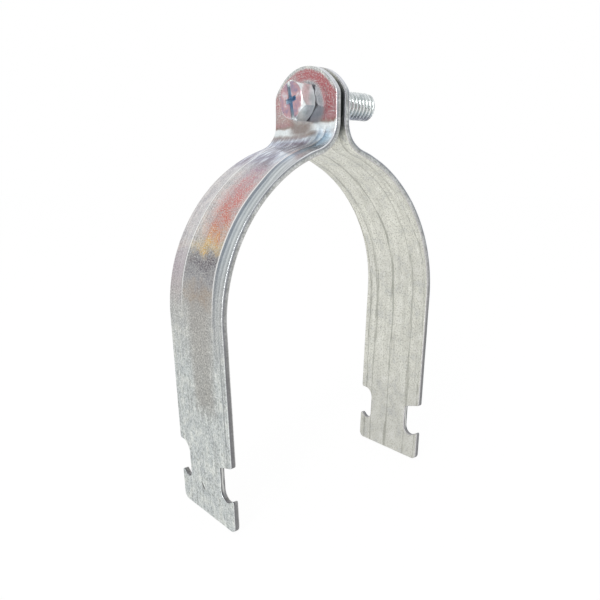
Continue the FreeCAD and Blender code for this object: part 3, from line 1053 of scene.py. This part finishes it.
sparkle = add(tree, "TexNoise", {"Vector": blank, "Scale": 23 * PER_CM, "Detail": 2.0, "Roughness": 0.6})
patches = add(tree, "ValToRGB", {0: share}, stops=((0.09, 1.0), (0.12, 0.2), (0.22, 0.2), (0.28, 1.0)))
patchy = add(tree, "MapRange", {0: sparkle, 1: 0.40, 2: 0.58, 3: 0.3, 4: 1.2})
patchy = add(tree, "Mix", {0: patches, 2: 1.0, 3: patchy})
blotchy = add(tree, "MapRange", {0: mottle, 1: 0.40, 2: 0.56, 3: 0.65, 4: 1.1})
blotchy = add(tree, "Mix", {0: patches, 2: 1.0, 3: blotchy})
for limit in (patchy, blotchy):
    shows = add(tree, "Math", {0: shows, 1: limit}, operation="MULTIPLY")
shows = add(tree, "Math", {0: shows, 1: strength}, operation="MULTIPLY", use_clamp=True)
# Painted reflection: a brown band below the head, and the same brown low on the far half of the ear.
brown_reflection = add(tree, "VectorMath", {0: blank, 1: BROWN_REFLECTION_MIDDLE}, operation="DISTANCE").outputs["Value"]
brown_reflection = add(tree, "MapRange", {0: brown_reflection, 1: 3.0, 2: 8.0, 3: 1.0, 4: 0.0}, interpolation_type="SMOOTHSTEP")
above_bend = add(tree, "MapRange", {0: along, 1: 21.0, 2: 24.0, 3: 1.0, 4: 0.0})
brown_reflection = add(tree, "Math", {0: brown_reflection, 1: above_bend}, operation="MULTIPLY")
far_brown_reflection = add(tree, "MapRange", {0: along, 1: 13.0, 2: 17.0, 4: 0.85})
far_half = add(tree, "MapRange", {0: across, 1: 0.0, 2: 5.0})
for limit in (far_half, ear_only):
    far_brown_reflection = add(tree, "Math", {0: far_brown_reflection, 1: limit}, operation="MULTIPLY")
for amount, colour in ((brown_reflection, "#7B6660"), (far_brown_reflection, "#8F6C52")):
    film = add(tree, "Mix", {0: amount, 6: film, 7: colour}, data_type="RGBA")
beyond = add(tree, "MapRange", {0: from_far, 1: 0.3, 2: 1.2, 4: 0.55})
beyond_span = add(tree, "ValToRGB", {0: share},
                  stops=((0.17, 0.0), (0.22, 1.0), (0.30, 0.5), (0.44, 0.5), (0.50, 0.9), (0.58, 0.0)))
for limit in (beyond_span, patchy):
    beyond = add(tree, "Math", {0: beyond, 1: limit}, operation="MULTIPLY")
print("with film:", len(tree.nodes), "nodes")

# %% [markdown]
# Slanted bands of painted reflection, white-blue highlights and dark violet, cross the top of the arc, and
# painted white and cold blue highlight streaks run through the bend beside the near edge.

# %% Outer face: painted reflections and highlight streaks of the bend
# Painted reflection: slanted white-blue and dark violet bands across the top of the arc.
slanted = add(tree, "Mapping", {"Vector": blank, "Rotation": (0, 0, math.radians(-25)), "Scale": (0.3, 1, 1)})
arc_top_reflections = add(tree, "TexNoise", {"Vector": slanted, "Scale": 5.5 * PER_CM, "Detail": 4.0, "Roughness": 0.65})
arc_top_reflections = add(tree, "ValToRGB", {0: arc_top_reflections}, stops=(
    (0.38, "#E4EDF6"), (0.46, "#A9AFC6"), (0.54, "#76728D"), (0.62, "#5E5468")))
arc_top_reflection_span = add(tree, "ValToRGB", {0: share}, stops=((0.135, 0.0), (0.16, 0.75), (0.24, 0.75), (0.28, 0.0)))
# Painted highlight: white and cold blue streaks in the bend beside the near edge.
bend_highlight_at = add(tree, "MapRange", {0: from_near, 1: -5.5, 2: 5.5})
bend_highlights = add(tree, "ValToRGB", {0: bend_highlight_at}, stops=(
    (0.0, "#F8FCFE"), (0.16, "#EDF5FA"), (0.30, "#D6E7F2"), (0.42, "#B9D0E0"), (0.50, "#8298AB"),
    (0.55, "#FBFDFE"), (0.66, "#E3EDF5"), (0.76, "#9FB1C2"), (0.86, "#F0F6FA"), (1.0, "#C4CDD9")))
bend_highlight_span = add(tree, "ValToRGB", {0: share}, stops=((0.115, 0.0), (0.14, 0.9), (0.22, 0.8), (0.27, 0.0)))
bend_highlight_near = add(tree, "MapRange", {0: from_near, 1: 3.0, 2: 6.5, 3: 1.0, 4: 0.0},
                interpolation_type="SMOOTHSTEP")
bend_highlight_near = add(tree, "Math", {0: bend_highlight_near, 1: bend_highlight_span}, operation="MULTIPLY")
print("with smears:", len(tree.nodes), "nodes")

# %% [markdown]
# Beside the near crease the bevel is painted with bands of cold blue grey and light grey, which are painted
# reflections. The creases and the rims carry bright lines of painted highlight, and one more painted
# highlight line runs just beyond the far bevel.

# %% Outer face: painted reflections on the bevel, painted highlights on the creases
FAINT_GLINT_BEYOND = 3.5

# Painted reflection: bands of cold blue grey and light grey on the bevel beside the near crease.
bevel_in = add(tree, "MapRange", {0: from_near, 1: -0.5, 2: -0.1, 3: 1.0, 4: 0.0})
wavy = add(tree, "Math", {0: streaks, 1: 1.6, 2: -0.8}, operation="MULTIPLY_ADD")
bevel_reflections = add(tree, "Math", {0: from_near, 1: wavy}, operation="ADD")
bevel_reflections = add(tree, "MapRange", {0: bevel_reflections, 1: -5.5, 2: 0.0})
bevel_reflections = add(tree, "ValToRGB", {0: bevel_reflections}, stops=(
    (0.0, "#B9BEC1"), (0.16, "#9AA0A3"), (0.34, "#D0D6D8"), (0.50, "#9CA3A8"), (0.64, "#C4CBCF"),
    (0.78, "#7A838F"), (1.0, "#808995")))
bevel_reflection_span = add(tree, "ValToRGB", {0: share},
                 stops=((0.20, 0.0), (0.27, 0.85), (0.46, 0.8), (0.54, 0.45), (0.68, 0.0)))
bevel = add(tree, "Math", {0: bevel_in, 1: bevel_reflection_span}, operation="MULTIPLY")
# Painted highlight: thin bright lines on both creases and one just beyond the far bevel.
crease_glint_span = add(tree, "ValToRGB", {0: share}, stops=((0.15, 0.0), (0.20, 1.0), (0.52, 1.0), (0.60, 0.0)))
near_line = add(tree, "Math", {0: from_near}, operation="ABSOLUTE")
far_line = add(tree, "Math", {0: from_far}, operation="ABSOLUTE")
faint_glint = add(tree, "Math", {0: from_far, 1: FAINT_GLINT_BEYOND}, operation="SUBTRACT")
faint_glint = add(tree, "Math", {0: faint_glint}, operation="ABSOLUTE")
faint_glint = add(tree, "Math", {0: streaks, 1: 0.5, 2: faint_glint}, operation="MULTIPLY_ADD")
off_glint = add(tree, "Math", {0: near_line, 1: far_line}, operation="MINIMUM")
off_glint = add(tree, "Math", {0: off_glint, 1: faint_glint}, operation="MINIMUM")
line = add(tree, "MapRange", {0: off_glint, 1: 0.10, 2: 0.35, 3: 0.9, 4: 0.0})
line = add(tree, "Math", {0: line, 1: crease_glint_span}, operation="MULTIPLY")
print("with creases:", len(tree.nodes), "nodes")

# %% [markdown]
# The third UV map gives the height in the strip's thickness, which finds the rims. The rims carry a painted
# highlight on the near side and painted shade on the far side, weaker low on the arc. All the layers then go
# over the zinc in one loop, from the film at the bottom to the rims at the top.

# %% Outer face: painted rim highlights and shade, and all layers together
depth = add(tree, "SeparateXYZ", {0: add(tree, "UVMap", uv_map="depth")}).outputs["X"]
# Painted highlight on the near rims, painted shade on the far rims.
rim = add(tree, "MapRange", {0: depth, 1: 0.86, 2: 0.99, 3: 0.9, 4: 0.0})
rim_highlight_fade = add(tree, "MapRange", {0: along, 1: 52.0, 2: 76.0, 3: 1.0, 4: 0.4})
rim = add(tree, "Math", {0: rim, 1: rim_highlight_fade}, operation="MULTIPLY")
far_rim_shade = add(tree, "MapRange", {0: across, 1: -1.0, 2: 7.0})
rim_highlight_and_shade = add(tree, "Mix", {0: far_rim_shade, 6: "#F4F5F5", 7: "#7F8389"}, data_type="RGBA")
tinted = zinc
for amount, colour in ((shows, film), (beyond, "#C3AFBC"), (arc_top_reflection_span, arc_top_reflections), (bend_highlight_near, bend_highlights),
                       (bevel, bevel_reflections), (line, "#F6F6F5"), (rim, rim_highlight_and_shade)):
    tinted = add(tree, "Mix", {0: amount, 6: tinted, 7: colour}, data_type="RGBA")
print("with rims:", len(tree.nodes), "nodes")

# %% [markdown]
# The ear and the bend are polished by the tool, the arc less, and the leg hardly at all, so the roughness
# rises along the strap. Grain and streaks also stand out a few hundredths of a millimetre as bumps.

# %% Outer face: gloss and bumps
BUMP_HEIGHT = 0.10 * MM

rough = add(tree, "ValToRGB", {0: share},
            stops=((0.0, 0.14), (0.20, 0.16), (0.30, 0.22), (0.50, 0.30), (0.62, 0.40), (1.0, 0.42)))
rough = add(tree, "Mix", {0: 0.15, 2: rough, 3: grain})
height = add(tree, "Math", {0: streaks, 1: 0.8, 2: grain}, operation="MULTIPLY_ADD")
bump = add(tree, "Bump", {"Strength": 0.25, "Distance": BUMP_HEIGHT, "Height": height})
shader = add(tree, "BsdfPrincipled", {
    "Base Color": tinted, "Metallic": 1.0, "Roughness": rough, "Normal": bump})
add(tree, "OutputMaterial", {"Surface": shader})
print("outer face:", len(tree.nodes), "nodes")

# %% [markdown]
# ## Galvanised strip, inner face
# The inner face never touched the polished tool, so it is duller and warmer, with clouds of brighter zinc
# and fine dark specks. Between the ears it is painted dark in a mottled band, which is painted shade in the
# gap, and where the arc meets the leg and towards the foot it is painted darker, which is painted shade too.

# %% Inner face: dull zinc and painted shade
strip_inner, tree = new_material("galvanised_strip_dull")
blank = add(tree, "UVMap", uv_map="blank")
along, across = add(tree, "SeparateXYZ", {0: blank}).outputs[:2]
share = add(tree, "MapRange", {0: along, 2: BLANK_END})
lengthwise = add(tree, "Mapping", {"Vector": blank, "Scale": (0.08, 1, 1)})
mottle = add(tree, "TexNoise", {"Vector": lengthwise, "Scale": 5 * PER_CM, "Detail": 4.0, "Roughness": 0.6})
grain = add(tree, "TexNoise", {"Vector": blank, "Scale": 15 * PER_CM, "Detail": 2.0, "Roughness": 0.65})
cloud = add(tree, "TexNoise", {"Vector": blank, "Scale": 2 * PER_CM, "Detail": 5.0, "Roughness": 0.65})
# Painted shade: the inner face is made darker where the arc meets the leg and most towards the foot.
lower = add(tree, "ValToRGB", {0: share},
            stops=((0.46, 0.0), (0.54, 0.5), (0.62, 0.2), (0.78, 0.3), (0.86, 0.85), (1.0, 0.95)))
specks = add(tree, "MapRange", {0: grain, 1: 0.50, 2: 0.62, 4: 0.9})
clouded = add(tree, "ValToRGB", {0: cloud}, stops=((0.34, "#BFC0C1"), (0.50, "#E0DFD4"), (0.66, "#FCFBF6")))
# Painted shade: a mottled dark band on the inner face between the ears.
painted_gap_shade = add(tree, "MapRange", {0: cloud, 1: 0.3, 2: 0.7, 3: -2.5, 4: 2.5})
painted_gap_shade = add(tree, "Math", {0: along, 1: painted_gap_shade}, operation="ADD")
painted_gap_shade = add(tree, "MapRange", {0: painted_gap_shade, 2: BLANK_END})
painted_gap_shade = add(tree, "ValToRGB", {0: painted_gap_shade}, stops=((0.025, 0.15), (0.06, 0.9), (0.105, 0.9), (0.14, 0.0)))
matt = add(tree, "ValToRGB", {0: mottle}, stops=((0.34, "#CDCEC5"), (0.50, "#E3E4DB"), (0.66, "#F1F2E9")))
for amount, colour in ((lower, "#C4C5C0"), (specks, "#A19F95"), (0.32, clouded), (painted_gap_shade, "#62686E")):
    matt = add(tree, "Mix", {0: amount, 6: matt, 7: colour}, data_type="RGBA")
print("dull zinc:", len(tree.nodes), "nodes")

# %% [markdown]
# The rollers have left a few soft lines along the strip. Each has a place across the strip, a half width
# and a darkness. All wander together by up to a millimetre, and up the arc they drift to the far side.

# %% Inner face: roller lines
ROLLER_LINES = ((-14.8, 0.4, 0.55), (-9.2, 0.6, 0.45), (1.0, 0.7, 0.60), (9.8, 0.7, 0.50), (13.4, 0.5, 0.55))

sway = add(tree, "TexNoise", {"Vector": lengthwise, "Scale": 6 * PER_CM, "Detail": 3.0, "Roughness": 0.6})
sway = add(tree, "MapRange", {0: sway, 1: 0.3, 2: 0.7, 3: -0.9, 4: 0.9}, clamp=False)
drift = add(tree, "MapRange", {0: along, 1: 45.0, 2: 110.0, 3: -2.8, 4: 0.0}, interpolation_type="SMOOTHSTEP")
swayed = across
for move in (sway, drift):
    swayed = add(tree, "Math", {0: swayed, 1: move}, operation="ADD")
for middle, width, darkness in ROLLER_LINES:
    off = add(tree, "Math", {0: swayed, 1: middle}, operation="SUBTRACT")
    off = add(tree, "Math", {0: off}, operation="ABSOLUTE")
    line = add(tree, "MapRange", {0: off, 2: width, 3: darkness, 4: 0.0}, interpolation_type="SMOOTHSTEP")
    matt = add(tree, "Mix", {0: line, 6: matt, 7: "#87877C"}, data_type="RGBA")
depth = add(tree, "SeparateXYZ", {0: add(tree, "UVMap", uv_map="depth")}).outputs["X"]
rim = add(tree, "MapRange", {0: depth, 1: -0.98, 2: -0.90, 3: 0.0, 4: 0.6})
matt = add(tree, "Mix", {0: rim, 6: matt, 7: "#B9B6BC"}, data_type="RGBA")
height = add(tree, "Math", {0: mottle, 1: 0.8, 2: grain}, operation="MULTIPLY_ADD")
bump = add(tree, "Bump", {"Strength": 0.30, "Distance": BUMP_HEIGHT, "Height": height})
shader = add(tree, "BsdfPrincipled", {
    "Base Color": matt, "Metallic": 0.8, "Roughness": 0.48, "Normal": bump})
add(tree, "OutputMaterial", {"Surface": shader})
print("inner face:", len(tree.nodes), "nodes")

# %% [markdown]
# ## Cut edge of the strip
# Punching shears the strip in two stages: the side where the punch entered stays darker and smooth, and the
# rest breaks away lighter and rough. Towards the foot the cut edges are painted darker, which is painted
# shade, and in the neck a painted highlight band lies between two bands of painted shade. At the ear's crown
# the cut edge carries a painted highlight. The blank's map is the same from one side of the edge to the
# other, so these patterns use the place in the object instead, which is in metres.

# %% Cut edge
PER_CM_OBJECT = 100

strip_edge, tree = new_material("sheared_strip_edge")
along = add(tree, "SeparateXYZ", {0: add(tree, "UVMap", uv_map="blank")}).outputs["X"]
share = add(tree, "MapRange", {0: along, 2: BLANK_END})
depth = add(tree, "SeparateXYZ", {0: add(tree, "UVMap", uv_map="depth")}).outputs["X"]
spot = add(tree, "TexCoord").outputs["Object"]
torn = add(tree, "TexNoise", {"Vector": spot, "Scale": 15 * PER_CM_OBJECT, "Detail": 3.0, "Roughness": 0.7})
patches = add(tree, "TexNoise", {"Vector": spot, "Scale": 2.6 * PER_CM_OBJECT, "Detail": 2.0})
dull = add(tree, "MapRange", {0: patches, 1: 0.4, 2: 0.7, 4: 0.5})
ragged = add(tree, "Math", {0: patches, 1: 0.6, 2: depth}, operation="MULTIPLY_ADD")
sheared = add(tree, "MapRange", {0: ragged, 1: 0.30, 2: 0.70, 4: 0.6})
# Painted highlight: the cut edge round the ear's crown is made lighter.
crown_highlight = add(tree, "MapRange", {0: along, 1: 5.0, 2: 11.0, 3: 0.65, 4: 0.0})
# Painted shade: the cut edges are made darker towards the foot.
foot = add(tree, "MapRange", {0: along, 1: 60.0, 2: 112.0, 4: 0.85})
# Painted highlight and shade: in the neck a light band between two dark bands across the edge.
neck_highlight = add(tree, "ValToRGB", {0: share}, stops=((0.865, 0.0), (0.875, 0.8), (0.925, 0.8), (0.94, 0.0)))
border = add(tree, "Math", {0: ragged, 1: 0.25}, operation="SUBTRACT")
border = add(tree, "Math", {0: border}, operation="ABSOLUTE")
neck_highlight_and_shade = add(tree, "ValToRGB", {0: border}, stops=((0.24, "#D6D7D4"), (0.46, "#5E5E60")))
steel = add(tree, "ValToRGB", {0: torn}, stops=((0.36, "#ACAEA9"), (0.50, "#CFD1CD"), (0.66, "#EDEEED")))
for amount, colour in ((dull, "#93948D"), (sheared, "#7C7F8E"), (crown_highlight, "#DCDFE8"), (foot, "#747375"),
                       (neck_highlight, neck_highlight_and_shade)):
    steel = add(tree, "Mix", {0: amount, 6: steel, 7: colour}, data_type="RGBA")
bump = add(tree, "Bump", {"Strength": 0.40, "Distance": BUMP_HEIGHT, "Height": torn})
shader = add(tree, "BsdfPrincipled", {
    "Base Color": steel, "Metallic": 1.0, "Roughness": 0.36, "Normal": bump})
add(tree, "OutputMaterial", {"Surface": shader})
for strap in (left_strap, right_strap):
    for finish in (strip_outer, strip_inner, strip_edge):
        strap.data.materials.append(finish)
print("straps carry", [m.name for m in right_strap.data.materials])

# %% [markdown]
# ## Zinc-plated screw
# The screw is plated after threading, with a thin bright zinc. It is lighter and glossier than the strip, a
# little cloudy, and its film has a rosy to violet tint on the head's face.

# %% Screw finish: plating and face
screw_zinc, tree = new_material("zinc_plated_screw_bright")
spot = add(tree, "TexCoord").outputs["Object"]
x = add(tree, "SeparateXYZ", {0: spot}).outputs["X"]
cloud = add(tree, "TexNoise", {"Vector": spot, "Scale": 4.2 * PER_CM_OBJECT, "Detail": 4.0, "Roughness": 0.6})
fine = add(tree, "TexNoise", {"Vector": spot, "Scale": 16 * PER_CM_OBJECT, "Detail": 2.0})
blotch = add(tree, "MapRange", {0: fine, 1: 0.5, 2: 0.75, 4: 0.4})
on_face = add(tree, "MapRange", {0: x, 1: (FACE_X + 0.10) * MM, 2: (FACE_X + 0.30) * MM, 3: 0.8, 4: 0.0})
rosy = add(tree, "ValToRGB", {0: cloud},
           stops=((0.38, "#7C6488"), (0.48, "#A06E80"), (0.56, "#B5787C"), (0.68, "#C8C3CC")))
zinc = add(tree, "ValToRGB", {0: cloud}, stops=((0.34, "#CDD3D4"), (0.50, "#E8ECEC"), (0.66, "#F7FAFA")))
for amount, colour in ((blotch, "#ABB0B0"), (on_face, rosy)):
    zinc = add(tree, "Mix", {0: amount, 6: zinc, 7: colour}, data_type="RGBA")
print("plating:", len(tree.nodes), "nodes")

# %% [markdown]
# Deep in the recess the film is a cold blue, painted darker than the plating as painted shade, and a little
# milky, and the thread's roots are painted a darker grey green, which is painted shade. The distance from the
# screw's axis finds both.

# %% Screw finish: recess and thread
from_axis = add(tree, "VectorMath", {0: spot, 1: (0, 0, -SCREW_Z * MM)}, operation="ADD")
from_axis = add(tree, "VectorMath", {0: from_axis, 1: (0, 1, 1)}, operation="MULTIPLY")
radius = add(tree, "VectorMath", {0: from_axis}, operation="LENGTH").outputs["Value"]
# Painted shade: the recess is made a darker cold blue.
recess = add(tree, "MapRange", {0: x, 1: (FACE_X + 0.15) * MM, 2: (FACE_X + 0.5) * MM})
in_head = add(tree, "MapRange", {0: x, 1: (FACE_X + 3.0) * MM, 2: (FACE_X + 3.5) * MM, 3: 1.0, 4: 0.0})
inward = add(tree, "MapRange", {0: radius, 1: 4.4 * MM, 2: 5.2 * MM, 3: 0.85, 4: 0.0})
for limit in (in_head, inward):
    recess = add(tree, "Math", {0: recess, 1: limit}, operation="MULTIPLY")
recess_shade_blue = add(tree, "ValToRGB", {0: radius},
           stops=((0.0, "#6FA9D6"), (2.2 * MM, "#84AAC8"), (3.2 * MM, "#7F909E"), (5.5 * MM, "#A9B4BC")))
# Painted shade: the thread's roots are made a darker grey green.
root_shade = add(tree, "MapRange", {0: radius, 1: 3.8 * MM, 2: 4.4 * MM, 3: 0.75, 4: 0.0})
threaded = add(tree, "MapRange", {0: x, 1: SEAT_X * MM, 2: (SEAT_X + 1) * MM})
root_shade = add(tree, "Math", {0: root_shade, 1: threaded}, operation="MULTIPLY")
for amount, colour in ((recess, recess_shade_blue), (root_shade, "#8C988F")):
    zinc = add(tree, "Mix", {0: amount, 6: zinc, 7: colour}, data_type="RGBA")
milky = add(tree, "Math", {0: recess, 1: -0.3, 2: 0.68}, operation="MULTIPLY_ADD")
bump = add(tree, "Bump", {"Strength": 0.25, "Distance": 0.08 * MM, "Height": cloud})
shader = add(tree, "BsdfPrincipled", {
    "Base Color": zinc, "Metallic": milky, "Roughness": 0.22, "Normal": bump})
add(tree, "OutputMaterial", {"Surface": shader})
screw.data.materials.append(screw_zinc)
print("screw finish:", len(tree.nodes), "nodes")

# %% [markdown]
# ## White studio
# The photograph has a pure white ground. The world is white to the camera and to reflections, so the metal
# shows it too, and it lights the clamp at a plain level.

# %% World
PLAIN_LIGHT = 0.8

scene = bpy.context.scene
scene.view_settings.view_transform = "Standard"
scene.world = bpy.data.worlds.new("white_room")
tree = empty_tree(scene.world)
path = add(tree, "LightPath").outputs
seen = add(tree, "Math", {0: path["Is Camera Ray"], 1: path["Is Glossy Ray"]}, operation="MAXIMUM")
seen = add(tree, "Math", {0: seen, 1: path["Is Transmission Ray"]}, operation="MAXIMUM")
lit = add(tree, "Background", {"Color": "#FFFFFF", "Strength": PLAIN_LIGHT})
shown = add(tree, "Background", {"Color": "#FFFFFF", "Strength": 1.0})
both = add(tree, "MixShader", {0: seen, 1: lit, 2: shown})
add(tree, "OutputWorld", {"Surface": both})
print("world:", len(tree.nodes), "nodes")

# %% [markdown]
# The floor is white paper just under the clamp's feet. Plain paper would look grey beside the white world,
# so to the camera it is mostly a white glow, and only a small share of paper keeps the faint shadow. It is
# six metres wide, so that its edges are far away.

# %% Floor
PAPER_GLOW = 1.02
GLOW_SHARE = 0.93
FLOOR_GAP = 0.2
FLOOR_HALF = 3


def flat_piece(name, corners, finish):
    """Flat piece of the studio with one finish."""
    data = bpy.data.meshes.new(name)
    data.from_pydata([tuple(c) for c in corners], [], [(0, 1, 2, 3)])
    data.materials.append(finish)
    made = new_object(name, data)
    return made


paper, tree = new_material("white_paper_floor")
sheet = add(tree, "BsdfDiffuse", {"Color": "#F2F2F2"})
path = add(tree, "LightPath").outputs
glow = add(tree, "Emission", {"Color": "#FFFFFF", "Strength": PAPER_GLOW})
seen = add(tree, "Math", {0: path["Is Camera Ray"], 1: path["Is Glossy Ray"]}, operation="MAXIMUM")
seen = add(tree, "Math", {0: seen, 1: GLOW_SHARE}, operation="MULTIPLY")
both = add(tree, "MixShader", {0: seen, 1: sheet, 2: glow})
add(tree, "OutputMaterial", {"Surface": both})
floor_z = cad_low.z - FLOOR_GAP * MM
signs = ((-1, -1), (1, -1), (1, 1), (-1, 1))
flat_piece("floor", [(x * FLOOR_HALF, y * FLOOR_HALF, floor_z) for x, y in signs], paper)
print("floor at z", round(floor_z / MM, 2), "mm")

# %% [markdown]
# Bright metal only shows its shape when it has something darker to reflect. Grey cards stand where the dim
# side of a room would be: behind the camera, on both sides of it and overhead. Only reflections see them.
# Their sizes and places are in metres.

# %% Grey cards
CARD_GREY = 0.74
CARD_TINT = (0.98, 1.0, 1.03)
CARD_DISTANCE = 1.1
CARD_LIFT = 0.45
CARD_SIZE = (0.82, 1.6)
CARD_HEADINGS = (160, 200, 240, 280, 315)
ABOVE_PLACE = (-0.75, -0.2, 1.25)
ABOVE_SIZE = (1.9, 2.4)
STEEP = 0.9


def card(name, centre, facing, size):
    """Card that only reflections see, square to the direction it faces."""
    finish, tree = new_material(name)
    grey = [CARD_GREY * part for part in CARD_TINT] + [1]
    glow = add(tree, "Emission", {"Color": grey, "Strength": 1.0})
    add(tree, "OutputMaterial", {"Surface": glow})
    towards = Vector(facing).normalized()
    upright = Vector((0, 0, 1)) if abs(towards.z) < STEEP else Vector((0, 1, 0))
    side = upright.cross(towards).normalized() * size[0] / 2
    high = towards.cross(side).normalized() * size[1] / 2
    middle = Vector(centre)
    corners = [middle - side - high, middle + side - high, middle + side + high, middle - side + high]
    made = flat_piece(name, corners, finish)
    made.visible_camera = made.visible_diffuse = made.visible_shadow = False


for heading in CARD_HEADINGS:
    turn = math.radians(heading)
    out = Vector((math.cos(turn), math.sin(turn), 0)) * CARD_DISTANCE
    card("grey_card_" + str(heading), out + Vector((0, 0, CARD_LIFT)), -out, CARD_SIZE)
card("grey_card_above", ABOVE_PLACE, (0, 0, -1), ABOVE_SIZE)
print("grey cards:", len(CARD_HEADINGS) + 1)

# %% [markdown]
# A tall strip lamp at the front left draws the bright lines along the rims. Its place and size are in
# metres, and it points level at the clamp's axis.

# %% Lamp
LAMP_PLACE = Vector((-0.86, -0.44, 0.30))
LAMP_TARGET = Vector((0, 0, LAMP_PLACE.z))
LAMP_SIZE = (0.20, 1.2)
LAMP_POWER = 6.0

light = bpy.data.lights.new("strip_lamp_front_left", "AREA")
light.shape = "RECTANGLE"
light.size, light.size_y = LAMP_SIZE
light.energy = LAMP_POWER
lamp = new_object("strip_lamp_front_left", light)
lamp.location = LAMP_PLACE
lamp.rotation_mode = "QUATERNION"
lamp.rotation_quaternion = (LAMP_TARGET - LAMP_PLACE).to_track_quat("-Z", "Y")
